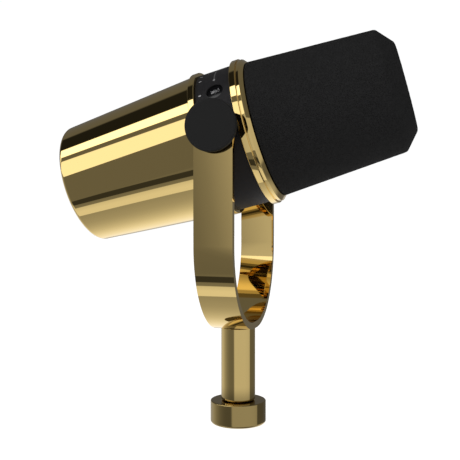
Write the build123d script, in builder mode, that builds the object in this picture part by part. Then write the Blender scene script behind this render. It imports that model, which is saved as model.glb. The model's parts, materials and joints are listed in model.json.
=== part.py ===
from build123d import *
import math
import os

# End-address microphone with a foam windscreen, hung in a U-shaped yoke on a threaded stand nut.
# Millimetres and degrees. The origin is the centre of the stand nut's mouth, +Z up, +X to the
# microphone's front. The clamp knobs lie along Y. "Stations" are distances along the microphone's
# own axis from the pivot, positive towards the front.

os.makedirs("parts", exist_ok=True)

# ------------------------------------------------------------------ driving dimensions
tilt_angle = 14.8  # microphone axis above level
pivot_height = 129.6  # pivot above the stand nut's mouth

rear_end = -77.0  # stations
housing_front = -11.0
band_half = 8.1
bezel_front = 10.7
foam_start = 14.2
foam_end = 77.0

rear_radius = 27.8
waist_radius = 32.25
band_radius = 31.7
band_bore = 27.2
bezel_radius = 33.4
rear_ring_radius = 33.2
foam_start_radius = 30.9
foam_end_radius = 27.0
housing_wall = 2.2
rear_corner = 1.8

panel_radius = 22.0
panel_thickness = 3.2
panel_recess = 0.8
fit_gap = 0.1  # between nested pieces of one body
slip_fit = 0.05  # radial, between a screw, pin or plug and its hole
running_gap = 0.06  # radial, between turning pieces
face_gap = 0.2  # between faces of pieces that move apart

yoke_width = 16.4
yoke_thickness = 3.0
yoke_outer_half = 40.7
yoke_drop = 86.3  # pivot to the yoke's lowest face
yoke_bend = 38.0

knob_radius = 10.7
knob_face = 45.0  # outer face of each knob from the middle
knob_thickness = 2.8
clamp_screw_radius = 3.0

post_radius = 7.76
nut_radius = 12.63
nut_height = 10.3
socket_radius = 7.45
socket_depth = 6.0

# ------------------------------------------------------------------ frame of the microphone
pivot = Vector(0, 0, pivot_height)
forward = Vector(math.cos(math.radians(tilt_angle)), 0, math.sin(math.radians(tilt_angle)))
side_plane = Plane(origin=pivot, x_dir=forward, z_dir=(0, -1, 0))  # local x forward, y up
mic_axis = Axis(pivot, forward)
up_axis = Axis(pivot, side_plane.y_dir)


def across(station):
    """Plane square to the microphone's axis: local x is +Y, local y is up, normal forward."""
    return Plane(origin=pivot + forward * station, x_dir=(0, 1, 0), z_dir=forward)


def housing_radius(station):
    """Outer radius of the tapered rear housing."""
    share = (station - rear_end) / (housing_front - rear_end)
    return rear_radius + share * (waist_radius - rear_radius)


def arm_plane(side, distance):
    """Plane square to the pivot axis, at a distance from the middle; side is -1 or +1."""
    return Plane(origin=pivot + Vector(0, side * distance, 0), x_dir=(1, 0, 0), z_dir=(0, side, 0))


# ------------------------------------------------------------------ stand nut (held by the stand)
nut_recess_radius = 6.8
nut_web = 2.0
spigot_radius = 4.54
nut_edge = 1.25
nut_top_edge = 0.5

with BuildPart() as stand_nut:
    with BuildSketch():
        Circle(nut_radius)
    extrude(amount=nut_height)
    fillet(stand_nut.edges().group_by(Axis.Z)[0], radius=nut_edge)
    fillet(stand_nut.edges().group_by(Axis.Z)[-1], radius=nut_top_edge)
    with BuildSketch():
        Circle(socket_radius)
    extrude(amount=socket_depth, mode=Mode.SUBTRACT)
    with BuildSketch(Plane.XY.offset(socket_depth)):
        Circle(nut_recess_radius)
    extrude(amount=nut_height - nut_web - socket_depth, mode=Mode.SUBTRACT)
    with BuildSketch(Plane.XY.offset(nut_height - nut_web)):
        Circle(spigot_radius + running_gap)
    extrude(amount=nut_web, mode=Mode.SUBTRACT)
stand_nut.part.label = "stand_nut"
export_step(stand_nut.part, "parts/stand_nut.step")

# ------------------------------------------------------------------ stand post and its fasteners
post_base = nut_height + face_gap
post_top = pivot_height - yoke_drop
spigot_end = nut_height - nut_web - face_gap
post_edge = 0.8
retainer_thread_radius = 2.0
retainer_thread_top = 18.0
strap_thread_radius = 2.5
strap_thread_base = 32.0
thread_runout = 0.5  # left free past the end of a screw

with BuildPart() as stand_post:
    with BuildSketch(Plane.XY.offset(post_base)):
        Circle(post_radius)
    extrude(amount=post_top - post_base)
    fillet(stand_post.edges().group_by(Axis.Z)[0], radius=post_edge)
    with BuildSketch(Plane.XY.offset(spigot_end)):
        Circle(spigot_radius)
    extrude(amount=post_base - spigot_end)
    with BuildSketch(Plane.XY.offset(spigot_end)):
        Circle(retainer_thread_radius + slip_fit)
    extrude(amount=retainer_thread_top - spigot_end, mode=Mode.SUBTRACT)
    with BuildSketch(Plane.XY.offset(strap_thread_base)):
        Circle(strap_thread_radius + slip_fit)
    extrude(amount=post_top - strap_thread_base, mode=Mode.SUBTRACT)
stand_post.part.label = "stand_post"
export_step(stand_post.part, "parts/stand_post.step")

washer_thickness = 0.6
washer_base = spigot_end - washer_thickness
retainer_head = 1.1
retainer_head_radius = 3.4
retainer_key_radius = 1.3
retainer_key_depth = 0.7

with BuildPart() as retaining_washer:
    with BuildSketch(Plane.XY.offset(washer_base)):
        Circle(nut_recess_radius - 0.3)
        Circle(retainer_thread_radius + slip_fit, mode=Mode.SUBTRACT)
    extrude(amount=washer_thickness)
retaining_washer.part.label = "retaining_washer"
export_step(retaining_washer.part, "parts/retaining_washer.step")

with BuildPart() as retaining_screw:
    with BuildSketch(Plane.XY.offset(washer_base)):
        Circle(retainer_thread_radius)
    extrude(amount=retainer_thread_top - thread_runout - washer_base)
    with BuildSketch(Plane.XY.offset(washer_base - retainer_head)):
        Circle(retainer_head_radius)
    extrude(amount=retainer_head)
    fillet(retaining_screw.edges().group_by(Axis.Z)[0], radius=0.3)
    with BuildSketch(Plane.XY.offset(washer_base - retainer_head)):
        RegularPolygon(radius=retainer_key_radius, side_count=6)
    extrude(amount=retainer_key_depth, mode=Mode.SUBTRACT)
retaining_screw.part.label = "retaining_screw"
export_step(retaining_screw.part, "parts/retaining_screw.step")

# ------------------------------------------------------------------ yoke strap
pivot_hole_radius = 5.0
strap_head_radius = 4.5
strap_head_depth = 1.7
strap_head_sink = 0.2
strap_key_radius = 1.8
strap_key_floor = 0.5

with BuildPart() as yoke_strap:
    with BuildSketch(Plane.YZ):
        with BuildLine():
            outer = FilletPolyline(
                (-yoke_outer_half, pivot_height),
                (-yoke_outer_half, post_top),
                (yoke_outer_half, post_top),
                (yoke_outer_half, pivot_height),
                radius=yoke_bend,
            )
            offset(outer, amount=yoke_thickness, side=Side.LEFT, closed=True)
        make_face()
    extrude(amount=yoke_width / 2, both=True)
    for side in (-1, 1):
        with BuildSketch(arm_plane(side, yoke_outer_half - yoke_thickness)):
            Circle(yoke_width / 2)
        extrude(amount=yoke_thickness)
    with BuildSketch(Plane.XZ.offset(-yoke_outer_half - 1)):
        with Locations((0, pivot_height)):
            Circle(pivot_hole_radius)
    extrude(amount=2 * yoke_outer_half + 2, mode=Mode.SUBTRACT)
    with BuildSketch(Plane.XY.offset(post_top)):
        Circle(strap_thread_radius + slip_fit)
    extrude(amount=yoke_thickness, mode=Mode.SUBTRACT)
    with BuildSketch(Plane.XY.offset(post_top + yoke_thickness - strap_head_depth)):
        Circle(strap_head_radius + 0.1)
    extrude(amount=strap_head_depth, mode=Mode.SUBTRACT)
yoke_strap.part.label = "yoke_strap"
export_step(yoke_strap.part, "parts/yoke_strap.step")

strap_head_seat = post_top + yoke_thickness - strap_head_depth

with BuildPart() as strap_screw:
    with BuildSketch(Plane.XY.offset(strap_thread_base + thread_runout)):
        Circle(strap_thread_radius)
    extrude(amount=strap_head_seat - strap_thread_base - thread_runout)
    with BuildSketch(Plane.XY.offset(strap_head_seat)):
        Circle(strap_head_radius)
    extrude(amount=strap_head_depth - strap_head_sink)
    with BuildSketch(Plane.XY.offset(strap_head_seat + strap_key_floor)):
        RegularPolygon(radius=strap_key_radius, side_count=6)
    extrude(amount=strap_head_depth, mode=Mode.SUBTRACT)
strap_screw.part.label = "strap_screw"
export_step(strap_screw.part, "parts/strap_screw.step")

# ------------------------------------------------------------------ pivots, one on each side
boss_radius = 8.0
boss_face = 37.0
boss_root = 25.5
washer_face = 37.5
bushing_bore = clamp_screw_radius + running_gap
bushing_flange_radius = 7.0
bushing_flange = 0.5
insert_radius = 5.0
insert_flange_radius = 6.5
insert_flange = 1.0
insert_sink = 0.2
washer_clearance = 0.2
knob_hub_radius = 8.0
knob_edge = 0.5
screw_end = 25.0
screw_top = 43.0
screw_head = 1.5
screw_head_radius = 4.6
yoke_inner_half = yoke_outer_half - yoke_thickness
hub_face = yoke_outer_half + bushing_flange + face_gap

for side_name, side in (("right", -1), ("left", 1)):
    with BuildPart() as pivot_bushing:
        with BuildSketch(arm_plane(side, yoke_inner_half)):
            Circle(pivot_hole_radius - slip_fit)
        extrude(amount=yoke_thickness)
        with BuildSketch(arm_plane(side, yoke_outer_half)):
            Circle(bushing_flange_radius)
        extrude(amount=bushing_flange)
        with BuildSketch(arm_plane(side, yoke_inner_half)):
            Circle(bushing_bore)
        extrude(amount=yoke_thickness + bushing_flange, mode=Mode.SUBTRACT)
    pivot_bushing.part.label = f"{side_name}_pivot_bushing"
    export_step(pivot_bushing.part, f"parts/{side_name}_pivot_bushing.step")

    with BuildPart() as friction_washer:
        with BuildSketch(arm_plane(side, boss_face)):
            Circle(boss_radius)
            Circle(bushing_bore + washer_clearance, mode=Mode.SUBTRACT)
        extrude(amount=washer_face - boss_face)
    friction_washer.part.label = f"{side_name}_friction_washer"
    export_step(friction_washer.part, f"parts/{side_name}_friction_washer.step")

    with BuildPart() as pivot_insert:
        with BuildSketch(arm_plane(side, boss_root - insert_flange)):
            Circle(insert_flange_radius)
        extrude(amount=insert_flange)
        with BuildSketch(arm_plane(side, boss_root)):
            Circle(insert_radius)
        extrude(amount=boss_face - insert_sink - boss_root)
        with BuildSketch(arm_plane(side, boss_root - insert_flange)):
            Circle(bushing_bore)
        extrude(amount=boss_face - boss_root + insert_flange, mode=Mode.SUBTRACT)
    pivot_insert.part.label = f"{side_name}_pivot_insert"
    export_step(pivot_insert.part, f"parts/{side_name}_pivot_insert.step")

    with BuildPart() as clamp_screw:
        with BuildSketch(arm_plane(side, screw_end)):
            Circle(clamp_screw_radius)
        extrude(amount=screw_top - screw_head - screw_end)
        with BuildSketch(arm_plane(side, screw_top - screw_head)):
            RegularPolygon(radius=screw_head_radius, side_count=6)
        extrude(amount=screw_head)
    clamp_screw.part.label = f"{side_name}_clamp_screw"
    export_step(clamp_screw.part, f"parts/{side_name}_clamp_screw.step")

    with BuildPart() as clamp_knob:
        with BuildSketch(arm_plane(side, knob_face - knob_thickness)):
            Circle(knob_radius)
        extrude(amount=knob_thickness)
        fillet(clamp_knob.edges().filter_by(GeomType.CIRCLE), radius=knob_edge)
        with BuildSketch(arm_plane(side, hub_face)):
            Circle(knob_hub_radius)
        extrude(amount=knob_face - knob_thickness - hub_face)
        with BuildSketch(arm_plane(side, hub_face)):
            Circle(clamp_screw_radius)
        extrude(amount=screw_top - screw_head - hub_face, mode=Mode.SUBTRACT)
        with BuildSketch(arm_plane(side, screw_top - screw_head)):
            RegularPolygon(radius=screw_head_radius, side_count=6)
        extrude(amount=screw_head, mode=Mode.SUBTRACT)
    clamp_knob.part.label = f"{side_name}_clamp_knob"
    export_step(clamp_knob.part, f"parts/{side_name}_clamp_knob.step")

# ------------------------------------------------------------------ rear housing and its ring
shoulder_radius = 20.2
panel_outer = rear_end + panel_recess
panel_inner = panel_outer + panel_thickness
shoulder_front = panel_inner + 2.0
lug_circle = 18.6
lug_spots = ((lug_circle, 0), (-lug_circle, 0), (0, -lug_circle))
lug_radius = 3.0
lug_length = 6.0
lug_floor = 0.5  # left below the end of a panel screw
ring_edge = 0.3
panel_screw_radius = 1.2
ring_bore = 29.6

with BuildPart() as rear_housing:
    with BuildSketch(side_plane):
        with BuildLine():
            skin = FilletPolyline(
                (rear_end, panel_radius + fit_gap),
                (rear_end, rear_radius),
                (housing_front, waist_radius),
                radius=rear_corner,
            )
            Polyline(
                skin @ 1,
                (housing_front, waist_radius - housing_wall),
                (shoulder_front, housing_radius(shoulder_front) - housing_wall),
                (shoulder_front, shoulder_radius),
                (panel_inner, shoulder_radius),
                (panel_inner, panel_radius + fit_gap),
                skin @ 0,
            )
        make_face()
    revolve(axis=mic_axis)
    with BuildSketch(across(panel_inner)):
        with Locations(*lug_spots):
            Circle(lug_radius)
    extrude(amount=lug_length)
    with BuildSketch(across(panel_inner)):
        with Locations(*lug_spots):
            Circle(panel_screw_radius + slip_fit)
    extrude(amount=lug_length, mode=Mode.SUBTRACT)
rear_housing.part.label = "rear_housing"
export_step(rear_housing.part, "parts/rear_housing.step")

with BuildPart() as rear_bezel_ring:
    with BuildSketch(side_plane):
        with BuildLine():
            Polyline(
                (housing_front, ring_bore),
                (housing_front, rear_ring_radius - ring_edge),
                (housing_front + ring_edge, rear_ring_radius),
                (-band_half - ring_edge, rear_ring_radius),
                (-band_half, rear_ring_radius - ring_edge),
                (-band_half, ring_bore),
                close=True,
            )
        make_face()
    revolve(axis=mic_axis)
rear_bezel_ring.part.label = "rear_bezel_ring"
export_step(rear_bezel_ring.part, "parts/rear_bezel_ring.step")

# ------------------------------------------------------------------ rear panel and its sockets
audio_collar = 1.2
audio_collar_thickness = 1.0
audio_height = 7.0  # socket centres on the panel, up from the axis
audio_bore = 8.3
audio_shell_radius = 9.6
audio_shell_end = -60.0
audio_pin_circle = 4.0
audio_pin_radius = 1.2
audio_pin_tip = -73.5
audio_pin_tail = 1.5
audio_pin_round = 0.7
insulator_thickness = 4.0
data_side = -9.5
data_height = -11.0
data_width = 8.94
data_thickness = 3.26
data_wall = 0.3
data_length = 7.2
port_sink = 0.1
port_floor = 1.0
tongue_width = 6.7
tongue_thickness = 0.7
tongue_sink = 0.6
board_top = data_height - data_thickness / 2
phones_side = 9.5
phones_height = board_top + 3.0
phones_radius = 2.9
phones_bore = 1.8
phones_bore_depth = 12.0
phones_block_width = 6.4
phones_block_height = 6.0
phones_block_length = 12.0
panel_screw_head = 2.1
panel_screw_sink = 1.2
screw_cross_length = 2.4
screw_cross_width = 0.6
screw_cross_depth = 0.6

with BuildPart() as rear_panel:
    with BuildSketch(across(panel_outer)):
        Circle(panel_radius)
        with Locations((0, audio_height)):
            Circle(audio_shell_radius + slip_fit, mode=Mode.SUBTRACT)
        with Locations((data_side, data_height)):
            SlotOverall(data_width + fit_gap, data_thickness + fit_gap, mode=Mode.SUBTRACT)
        with Locations((phones_side, phones_height)):
            Circle(phones_radius + slip_fit, mode=Mode.SUBTRACT)
        with Locations(*lug_spots):
            Circle(panel_screw_radius + slip_fit, mode=Mode.SUBTRACT)
    extrude(amount=panel_thickness)
    with BuildSketch(across(panel_outer)):
        with Locations(*lug_spots):
            Circle(panel_screw_head + fit_gap)
    extrude(amount=panel_screw_sink, mode=Mode.SUBTRACT)
rear_panel.part.label = "rear_panel"
export_step(rear_panel.part, "parts/rear_panel.step")

with BuildPart() as panel_screws:
    with BuildSketch(across(panel_outer + fit_gap)):
        with Locations(*lug_spots):
            Circle(panel_screw_head)
    extrude(amount=panel_screw_sink - fit_gap)
    with BuildSketch(across(panel_outer + panel_screw_sink)):
        with Locations(*lug_spots):
            Circle(panel_screw_radius)
    extrude(amount=panel_thickness - panel_screw_sink + lug_length - lug_floor)
    with BuildSketch(across(panel_outer + fit_gap)):
        with Locations(*lug_spots):
            Rectangle(screw_cross_length, screw_cross_width)
            Rectangle(screw_cross_width, screw_cross_length)
    extrude(amount=screw_cross_depth, mode=Mode.SUBTRACT)
panel_screws.part.label = "panel_screws"
export_step(panel_screws.part, "parts/panel_screws.step")

with BuildPart() as audio_socket_shell:
    with BuildSketch(across(panel_outer)):
        with Locations((0, audio_height)):
            Circle(audio_shell_radius)
    extrude(amount=audio_shell_end - panel_outer)
    with BuildSketch(across(panel_inner)):
        with Locations((0, audio_height)):
            Circle(audio_shell_radius + audio_collar)
    extrude(amount=audio_collar_thickness)
    with BuildSketch(across(panel_outer)):
        with Locations((0, audio_height)):
            Circle(audio_bore)
    extrude(amount=audio_shell_end - panel_outer, mode=Mode.SUBTRACT)
audio_socket_shell.part.label = "audio_socket_shell"
export_step(audio_socket_shell.part, "parts/audio_socket_shell.step")

insulator_face = audio_shell_end - insulator_thickness

with BuildPart() as audio_socket_insulator:
    with BuildSketch(across(insulator_face)):
        with Locations((0, audio_height)):
            Circle(audio_bore - slip_fit)
            with PolarLocations(audio_pin_circle, 3, start_angle=30):
                Circle(audio_pin_radius + slip_fit, mode=Mode.SUBTRACT)
    extrude(amount=insulator_thickness)
audio_socket_insulator.part.label = "audio_socket_insulator"
export_step(audio_socket_insulator.part, "parts/audio_socket_insulator.step")

with BuildPart() as audio_socket_pins:
    with BuildSketch(across(audio_pin_tip)):
        with Locations((0, audio_height)):
            with PolarLocations(audio_pin_circle, 3, start_angle=30):
                Circle(audio_pin_radius)
    extrude(amount=audio_shell_end + audio_pin_tail - audio_pin_tip)
    fillet(audio_socket_pins.edges().group_by(mic_axis)[0], radius=audio_pin_round)
audio_socket_pins.part.label = "audio_socket_pins"
export_step(audio_socket_pins.part, "parts/audio_socket_pins.step")

with BuildPart() as data_port_shell:
    with BuildSketch(across(panel_outer + port_sink)):
        with Locations((data_side, data_height)):
            SlotOverall(data_width, data_thickness)
    extrude(amount=data_length)
    with BuildSketch(across(panel_outer + port_sink)):
        with Locations((data_side, data_height)):
            SlotOverall(data_width - 2 * data_wall, data_thickness - 2 * data_wall)
    extrude(amount=data_length - port_floor, mode=Mode.SUBTRACT)
data_port_shell.part.label = "data_port_shell"
export_step(data_port_shell.part, "parts/data_port_shell.step")

with BuildPart() as data_port_tongue:
    with BuildSketch(across(panel_outer + tongue_sink)):
        with Locations((data_side, data_height)):
            Rectangle(tongue_width, tongue_thickness)
    extrude(amount=data_length - port_floor + port_sink - tongue_sink)
data_port_tongue.part.label = "data_port_tongue"
export_step(data_port_tongue.part, "parts/data_port_tongue.step")

with BuildPart() as headphone_socket:
    with BuildSketch(across(panel_outer)):
        with Locations((phones_side, phones_height)):
            Circle(phones_radius)
    extrude(amount=panel_thickness)
    with BuildSketch(across(panel_inner)):
        with Locations((phones_side, phones_height)):
            Rectangle(phones_block_width, phones_block_height)
    extrude(amount=phones_block_length)
    with BuildSketch(across(panel_outer)):
        with Locations((phones_side, phones_height)):
            Circle(phones_bore)
    extrude(amount=phones_bore_depth, mode=Mode.SUBTRACT)
headphone_socket.part.label = "headphone_socket"
export_step(headphone_socket.part, "parts/headphone_socket.step")

# ------------------------------------------------------------------ main board on its sled
board_thickness = 1.6
board_half = 17.0
board_rear = -69.4
board_front = -24.0
board_corner = 1.5
sled_top = -17.5
sled_thickness = 1.5
sled_half = 11.0
sled_flange = 5.2
sled_rear = -62.0
web_rear = -14.0
web_thickness = 2.0
pillar_stations = (-58.0, -28.0)
pillar_side = 9.0
pillar_spots = [(station, side * pillar_side) for station in pillar_stations for side in (-1, 1)]
sled_screw_spots = ((-6.0, -15.5), (6.0, -15.5))
pillar_radius = 2.2
small_screw_radius = 0.95
small_screw_bore = 1.0
small_screw_clearance = 1.05
small_screw_head_radius = 1.8
small_screw_head = 1.0
board_screw_bite = 2.5


def board_plane(height):
    """Plane along the microphone's axis at a height above it: local x forward, local y -Y."""
    up = side_plane.y_dir
    return Plane(origin=pivot + up * height, x_dir=forward, z_dir=-up)


with BuildPart() as main_board:
    with BuildSketch(board_plane(board_top)):
        with Locations(((board_rear + board_front) / 2, 0)):
            RectangleRounded(board_front - board_rear, 2 * board_half, board_corner)
        with Locations(*pillar_spots):
            Circle(small_screw_clearance, mode=Mode.SUBTRACT)
    extrude(amount=board_thickness)
main_board.part.label = "main_board"
export_step(main_board.part, "parts/main_board.step")

with BuildPart() as board_sled:
    with BuildSketch(board_plane(sled_top)):
        with Locations(((sled_rear + web_rear) / 2, 0)):
            Rectangle(web_rear - sled_rear, 2 * sled_half)
    extrude(amount=sled_thickness)
    with BuildSketch(board_plane(board_top - board_thickness)):
        with Locations(*pillar_spots):
            Circle(pillar_radius)
    extrude(amount=board_top - board_thickness - sled_top)
    with BuildSketch(board_plane(board_top - board_thickness)):
        with Locations(*pillar_spots):
            Circle(small_screw_bore)
    extrude(amount=board_top - board_thickness - sled_top, mode=Mode.SUBTRACT)
    with BuildSketch(board_plane(sled_top + sled_flange)):
        with Locations((web_rear - sled_thickness / 2, 0)):
            Rectangle(sled_thickness, 2 * sled_half)
    extrude(amount=sled_flange)
    with BuildSketch(across(web_rear - sled_thickness)):
        with Locations(*sled_screw_spots):
            Circle(small_screw_clearance)
    extrude(amount=sled_thickness, mode=Mode.SUBTRACT)
board_sled.part.label = "board_sled"
export_step(board_sled.part, "parts/board_sled.step")

with BuildPart() as board_screws:
    with BuildSketch(board_plane(board_top)):
        with Locations(*pillar_spots):
            Circle(small_screw_radius)
    extrude(amount=board_thickness + board_screw_bite)
    with BuildSketch(board_plane(board_top + small_screw_head)):
        with Locations(*pillar_spots):
            Circle(small_screw_head_radius)
    extrude(amount=small_screw_head)
board_screws.part.label = "board_screws"
export_step(board_screws.part, "parts/board_screws.step")

with BuildPart() as sled_screws:
    with BuildSketch(across(web_rear - sled_thickness)):
        with Locations(*sled_screw_spots):
            Circle(small_screw_radius)
    extrude(amount=sled_thickness + web_thickness)
    with BuildSketch(across(web_rear - sled_thickness - small_screw_head)):
        with Locations(*sled_screw_spots):
            Circle(small_screw_head_radius)
    extrude(amount=small_screw_head)
sled_screws.part.label = "sled_screws"
export_step(sled_screws.part, "parts/sled_screws.step")

chip_height = 1.2
capacitor_height = 5.0
capacitor_radius = 2.5
capacitor_edge = 0.4
capacitor_spots = ((-37, 12), (-44, 12), (-37, -12))

with BuildPart() as board_chips:
    with BuildSketch(board_plane(board_top + chip_height)):
        with Locations((-40, 0)):
            Rectangle(10, 10)
        with Locations((-58, -1)):
            Rectangle(7, 7)
    extrude(amount=chip_height)
board_chips.part.label = "board_chips"
export_step(board_chips.part, "parts/board_chips.step")

with BuildPart() as board_capacitors:
    with BuildSketch(board_plane(board_top + capacitor_height)):
        with Locations(*capacitor_spots):
            Circle(capacitor_radius)
    extrude(amount=capacitor_height)
    fillet(board_capacitors.edges().group_by(up_axis)[-1], radius=capacitor_edge)
board_capacitors.part.label = "board_capacitors"
export_step(board_capacitors.part, "parts/board_capacitors.step")

connector_height = 4.0

with BuildPart() as board_connectors:
    with BuildSketch(board_plane(board_top + connector_height)):
        with Locations((-27, 0)):
            Rectangle(5, 8)
        with Locations((-51, 0)):
            Rectangle(5, 5)
    extrude(amount=connector_height)
board_connectors.part.label = "board_connectors"
export_step(board_connectors.part, "parts/board_connectors.step")

# ------------------------------------------------------------------ centre band and touch controls
pocket_radius = 28.2
pocket_depth = 2.0
spigot_outer = 29.5
front_spigot_outer = 29.2
spigot_rear = -16.0
web_hole = 13.0
button_angle = 57.2  # round the axis, from straight up towards the right-hand (-Y) side
button_station = 1.0
button_radius = 3.65
button_seat = band_radius - 0.95
button_top = band_radius - 0.45
light_station = 0.8
light_width = 0.8
light_seat = band_radius - 0.6
light_half_arc = 44.5
pip_station = -5.8
pip_angles = (29.0, 38.8, 57.5)
pip_length = 1.6
pip_width = 0.8
pip_seat = band_radius - 0.55
light_height = 0.55
pip_height = 0.5
recess_reach = 2.0  # how far a cut for a touch control runs outward, past the band


def outward(angle):
    """Unit vector square to the microphone's axis, turned from straight up towards -Y."""
    turn = math.radians(angle)
    return side_plane.y_dir * math.cos(turn) + Vector(0, -math.sin(turn), 0)


def surface_plane(angle, radius, station):
    """Plane facing outward at a radius: local x runs forward."""
    facing = outward(angle)
    return Plane(origin=pivot + forward * station + facing * radius, x_dir=forward, z_dir=facing)


def around(angle):
    """Half-plane through the axis, for arcs round it: local x forward, local y outward."""
    return Plane(origin=pivot, x_dir=forward, z_dir=forward.cross(outward(angle)))


with BuildPart() as centre_band:
    with BuildSketch(side_plane):
        with BuildLine():
            Polyline(
                (spigot_rear, band_bore),
                (spigot_rear, spigot_outer),
                (-band_half, spigot_outer),
                (-band_half, band_radius - ring_edge),
                (-band_half + ring_edge, band_radius),
                (band_half - ring_edge, band_radius),
                (band_half, band_radius - ring_edge),
                (band_half, front_spigot_outer),
                (bezel_front, front_spigot_outer),
                (bezel_front, pocket_radius),
                (bezel_front - pocket_depth, pocket_radius),
                (bezel_front - pocket_depth, band_bore),
                (web_rear + web_thickness, band_bore),
                (web_rear + web_thickness, web_hole),
                (web_rear, web_hole),
                (web_rear, band_bore),
                close=True,
            )
        make_face()
    revolve(axis=mic_axis)
    for side in (-1, 1):
        with BuildSketch(arm_plane(side, boss_root)):
            Circle(boss_radius)
        extrude(amount=boss_face - boss_root)
        with BuildSketch(arm_plane(side, boss_root)):
            Circle(insert_radius + slip_fit)
        extrude(amount=boss_face - boss_root, mode=Mode.SUBTRACT)
    with BuildSketch(surface_plane(button_angle, button_seat, button_station)):
        Circle(button_radius + fit_gap)
    extrude(amount=recess_reach, mode=Mode.SUBTRACT)
    for angle in pip_angles:
        with BuildSketch(surface_plane(angle, pip_seat, pip_station)):
            SlotOverall(pip_length + fit_gap, pip_width + fit_gap)
        extrude(amount=recess_reach, mode=Mode.SUBTRACT)
    with BuildSketch(around(-light_half_arc - 0.1)):
        with Locations((light_station, light_seat + recess_reach / 2)):
            Rectangle(light_width + fit_gap, recess_reach)
    revolve(axis=mic_axis, revolution_arc=2 * light_half_arc + 0.2, mode=Mode.SUBTRACT)
    with BuildSketch(across(web_rear)):
        with Locations(*sled_screw_spots):
            Circle(small_screw_bore)
    extrude(amount=web_thickness, mode=Mode.SUBTRACT)
centre_band.part.label = "centre_band"
export_step(centre_band.part, "parts/centre_band.step")

with BuildPart() as mute_button:
    with BuildSketch(surface_plane(button_angle, button_seat, button_station)):
        Circle(button_radius)
    extrude(amount=button_top - button_seat)
mute_button.part.label = "mute_button"
export_step(mute_button.part, "parts/mute_button.step")

with BuildPart() as light_bar:
    with BuildSketch(around(-light_half_arc)):
        with Locations((light_station, light_seat + light_height / 2)):
            Rectangle(light_width, light_height)
    revolve(axis=mic_axis, revolution_arc=2 * light_half_arc)
light_bar.part.label = "light_bar"
export_step(light_bar.part, "parts/light_bar.step")

with BuildPart() as indicator_lights:
    for angle in pip_angles:
        with BuildSketch(surface_plane(angle, pip_seat, pip_station)):
            SlotOverall(pip_length, pip_width)
        extrude(amount=pip_height)
indicator_lights.part.label = "indicator_lights"
export_step(indicator_lights.part, "parts/indicator_lights.step")

touch_board_half_arc = 70.0
touch_board_width = 12.0
touch_board_thickness = 0.8

with BuildPart() as touch_board:
    with BuildSketch(around(-touch_board_half_arc)):
        with Locations((0, band_bore - touch_board_thickness / 2)):
            Rectangle(touch_board_width, touch_board_thickness)
    revolve(axis=mic_axis, revolution_arc=2 * touch_board_half_arc)
touch_board.part.label = "touch_board"
export_step(touch_board.part, "parts/touch_board.step")

# ------------------------------------------------------------------ front rings and grille basket
base_ring_groove = 11.0
base_ring_flange = 12.3
ring_lip = 0.2
groove_radius = bezel_radius - 1.5
flange_radius = bezel_radius - 0.6
bezel_chamfer = 0.6
base_ring_front = 13.9
grille_radius = 25.9
grille_wall = 0.9
grille_end = 70.2
grille_shoulder = 67.0
grille_shoulder_radius = 22.2
grille_end_radius = 19.2

with BuildPart() as front_bezel_ring:
    with BuildSketch(side_plane):
        with BuildLine():
            Polyline(
                (band_half, front_spigot_outer + fit_gap),
                (band_half, bezel_radius - bezel_chamfer),
                (band_half + bezel_chamfer, bezel_radius),
                (bezel_front - ring_lip, bezel_radius),
                (bezel_front, bezel_radius - ring_lip),
                (bezel_front, front_spigot_outer + fit_gap),
                close=True,
            )
        make_face()
    revolve(axis=mic_axis)
front_bezel_ring.part.label = "front_bezel_ring"
export_step(front_bezel_ring.part, "parts/front_bezel_ring.step")

with BuildPart() as grille_base_ring:
    with BuildSketch(side_plane):
        with BuildLine():
            Polyline(
                (bezel_front, grille_radius + slip_fit),
                (bezel_front, groove_radius),
                (base_ring_groove, groove_radius),
                (base_ring_groove, flange_radius - ring_lip),
                (base_ring_groove + ring_lip, flange_radius),
                (base_ring_flange, flange_radius),
                (base_ring_front, foam_start_radius + 0.1),
                (base_ring_front, grille_radius + slip_fit),
                close=True,
            )
        make_face()
    revolve(axis=mic_axis)
grille_base_ring.part.label = "grille_base_ring"
export_step(grille_base_ring.part, "parts/grille_base_ring.step")

with BuildPart() as grille_basket:
    with BuildSketch(side_plane):
        with BuildLine():
            Polyline(
                (bezel_front, grille_radius - grille_wall),
                (bezel_front, grille_radius),
                (base_ring_front, grille_radius),
                (grille_shoulder, grille_shoulder_radius),
                (grille_end, grille_end_radius),
                (grille_end, 0),
                (grille_end - grille_wall, 0),
                (grille_end - grille_wall, grille_end_radius - 0.5),
                (grille_shoulder - 0.4, grille_shoulder_radius - grille_wall),
                (base_ring_front, grille_radius - grille_wall),
                close=True,
            )
        make_face()
    revolve(axis=mic_axis)
grille_basket.part.label = "grille_basket"
export_step(grille_basket.part, "parts/grille_basket.step")

# ------------------------------------------------------------------ foam windscreen
foam_gap = 0.4
foam_shoulder = 70.5
foam_end_flat = 19.3
foam_corner_gap = 0.2

with BuildPart() as windscreen:
    with BuildSketch(side_plane):
        with BuildLine():
            Polyline(
                (foam_start, grille_radius + foam_gap),
                (foam_start, foam_start_radius),
                (foam_shoulder, foam_end_radius),
                (foam_end, foam_end_flat),
                (foam_end, 0),
                (grille_end + foam_gap, 0),
                (grille_end + foam_gap, grille_end_radius + foam_corner_gap),
                (grille_shoulder + foam_corner_gap, grille_shoulder_radius + foam_gap),
                close=True,
            )
        make_face()
    revolve(axis=mic_axis)
windscreen.part.label = "windscreen"
export_step(windscreen.part, "parts/windscreen.step")

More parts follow.
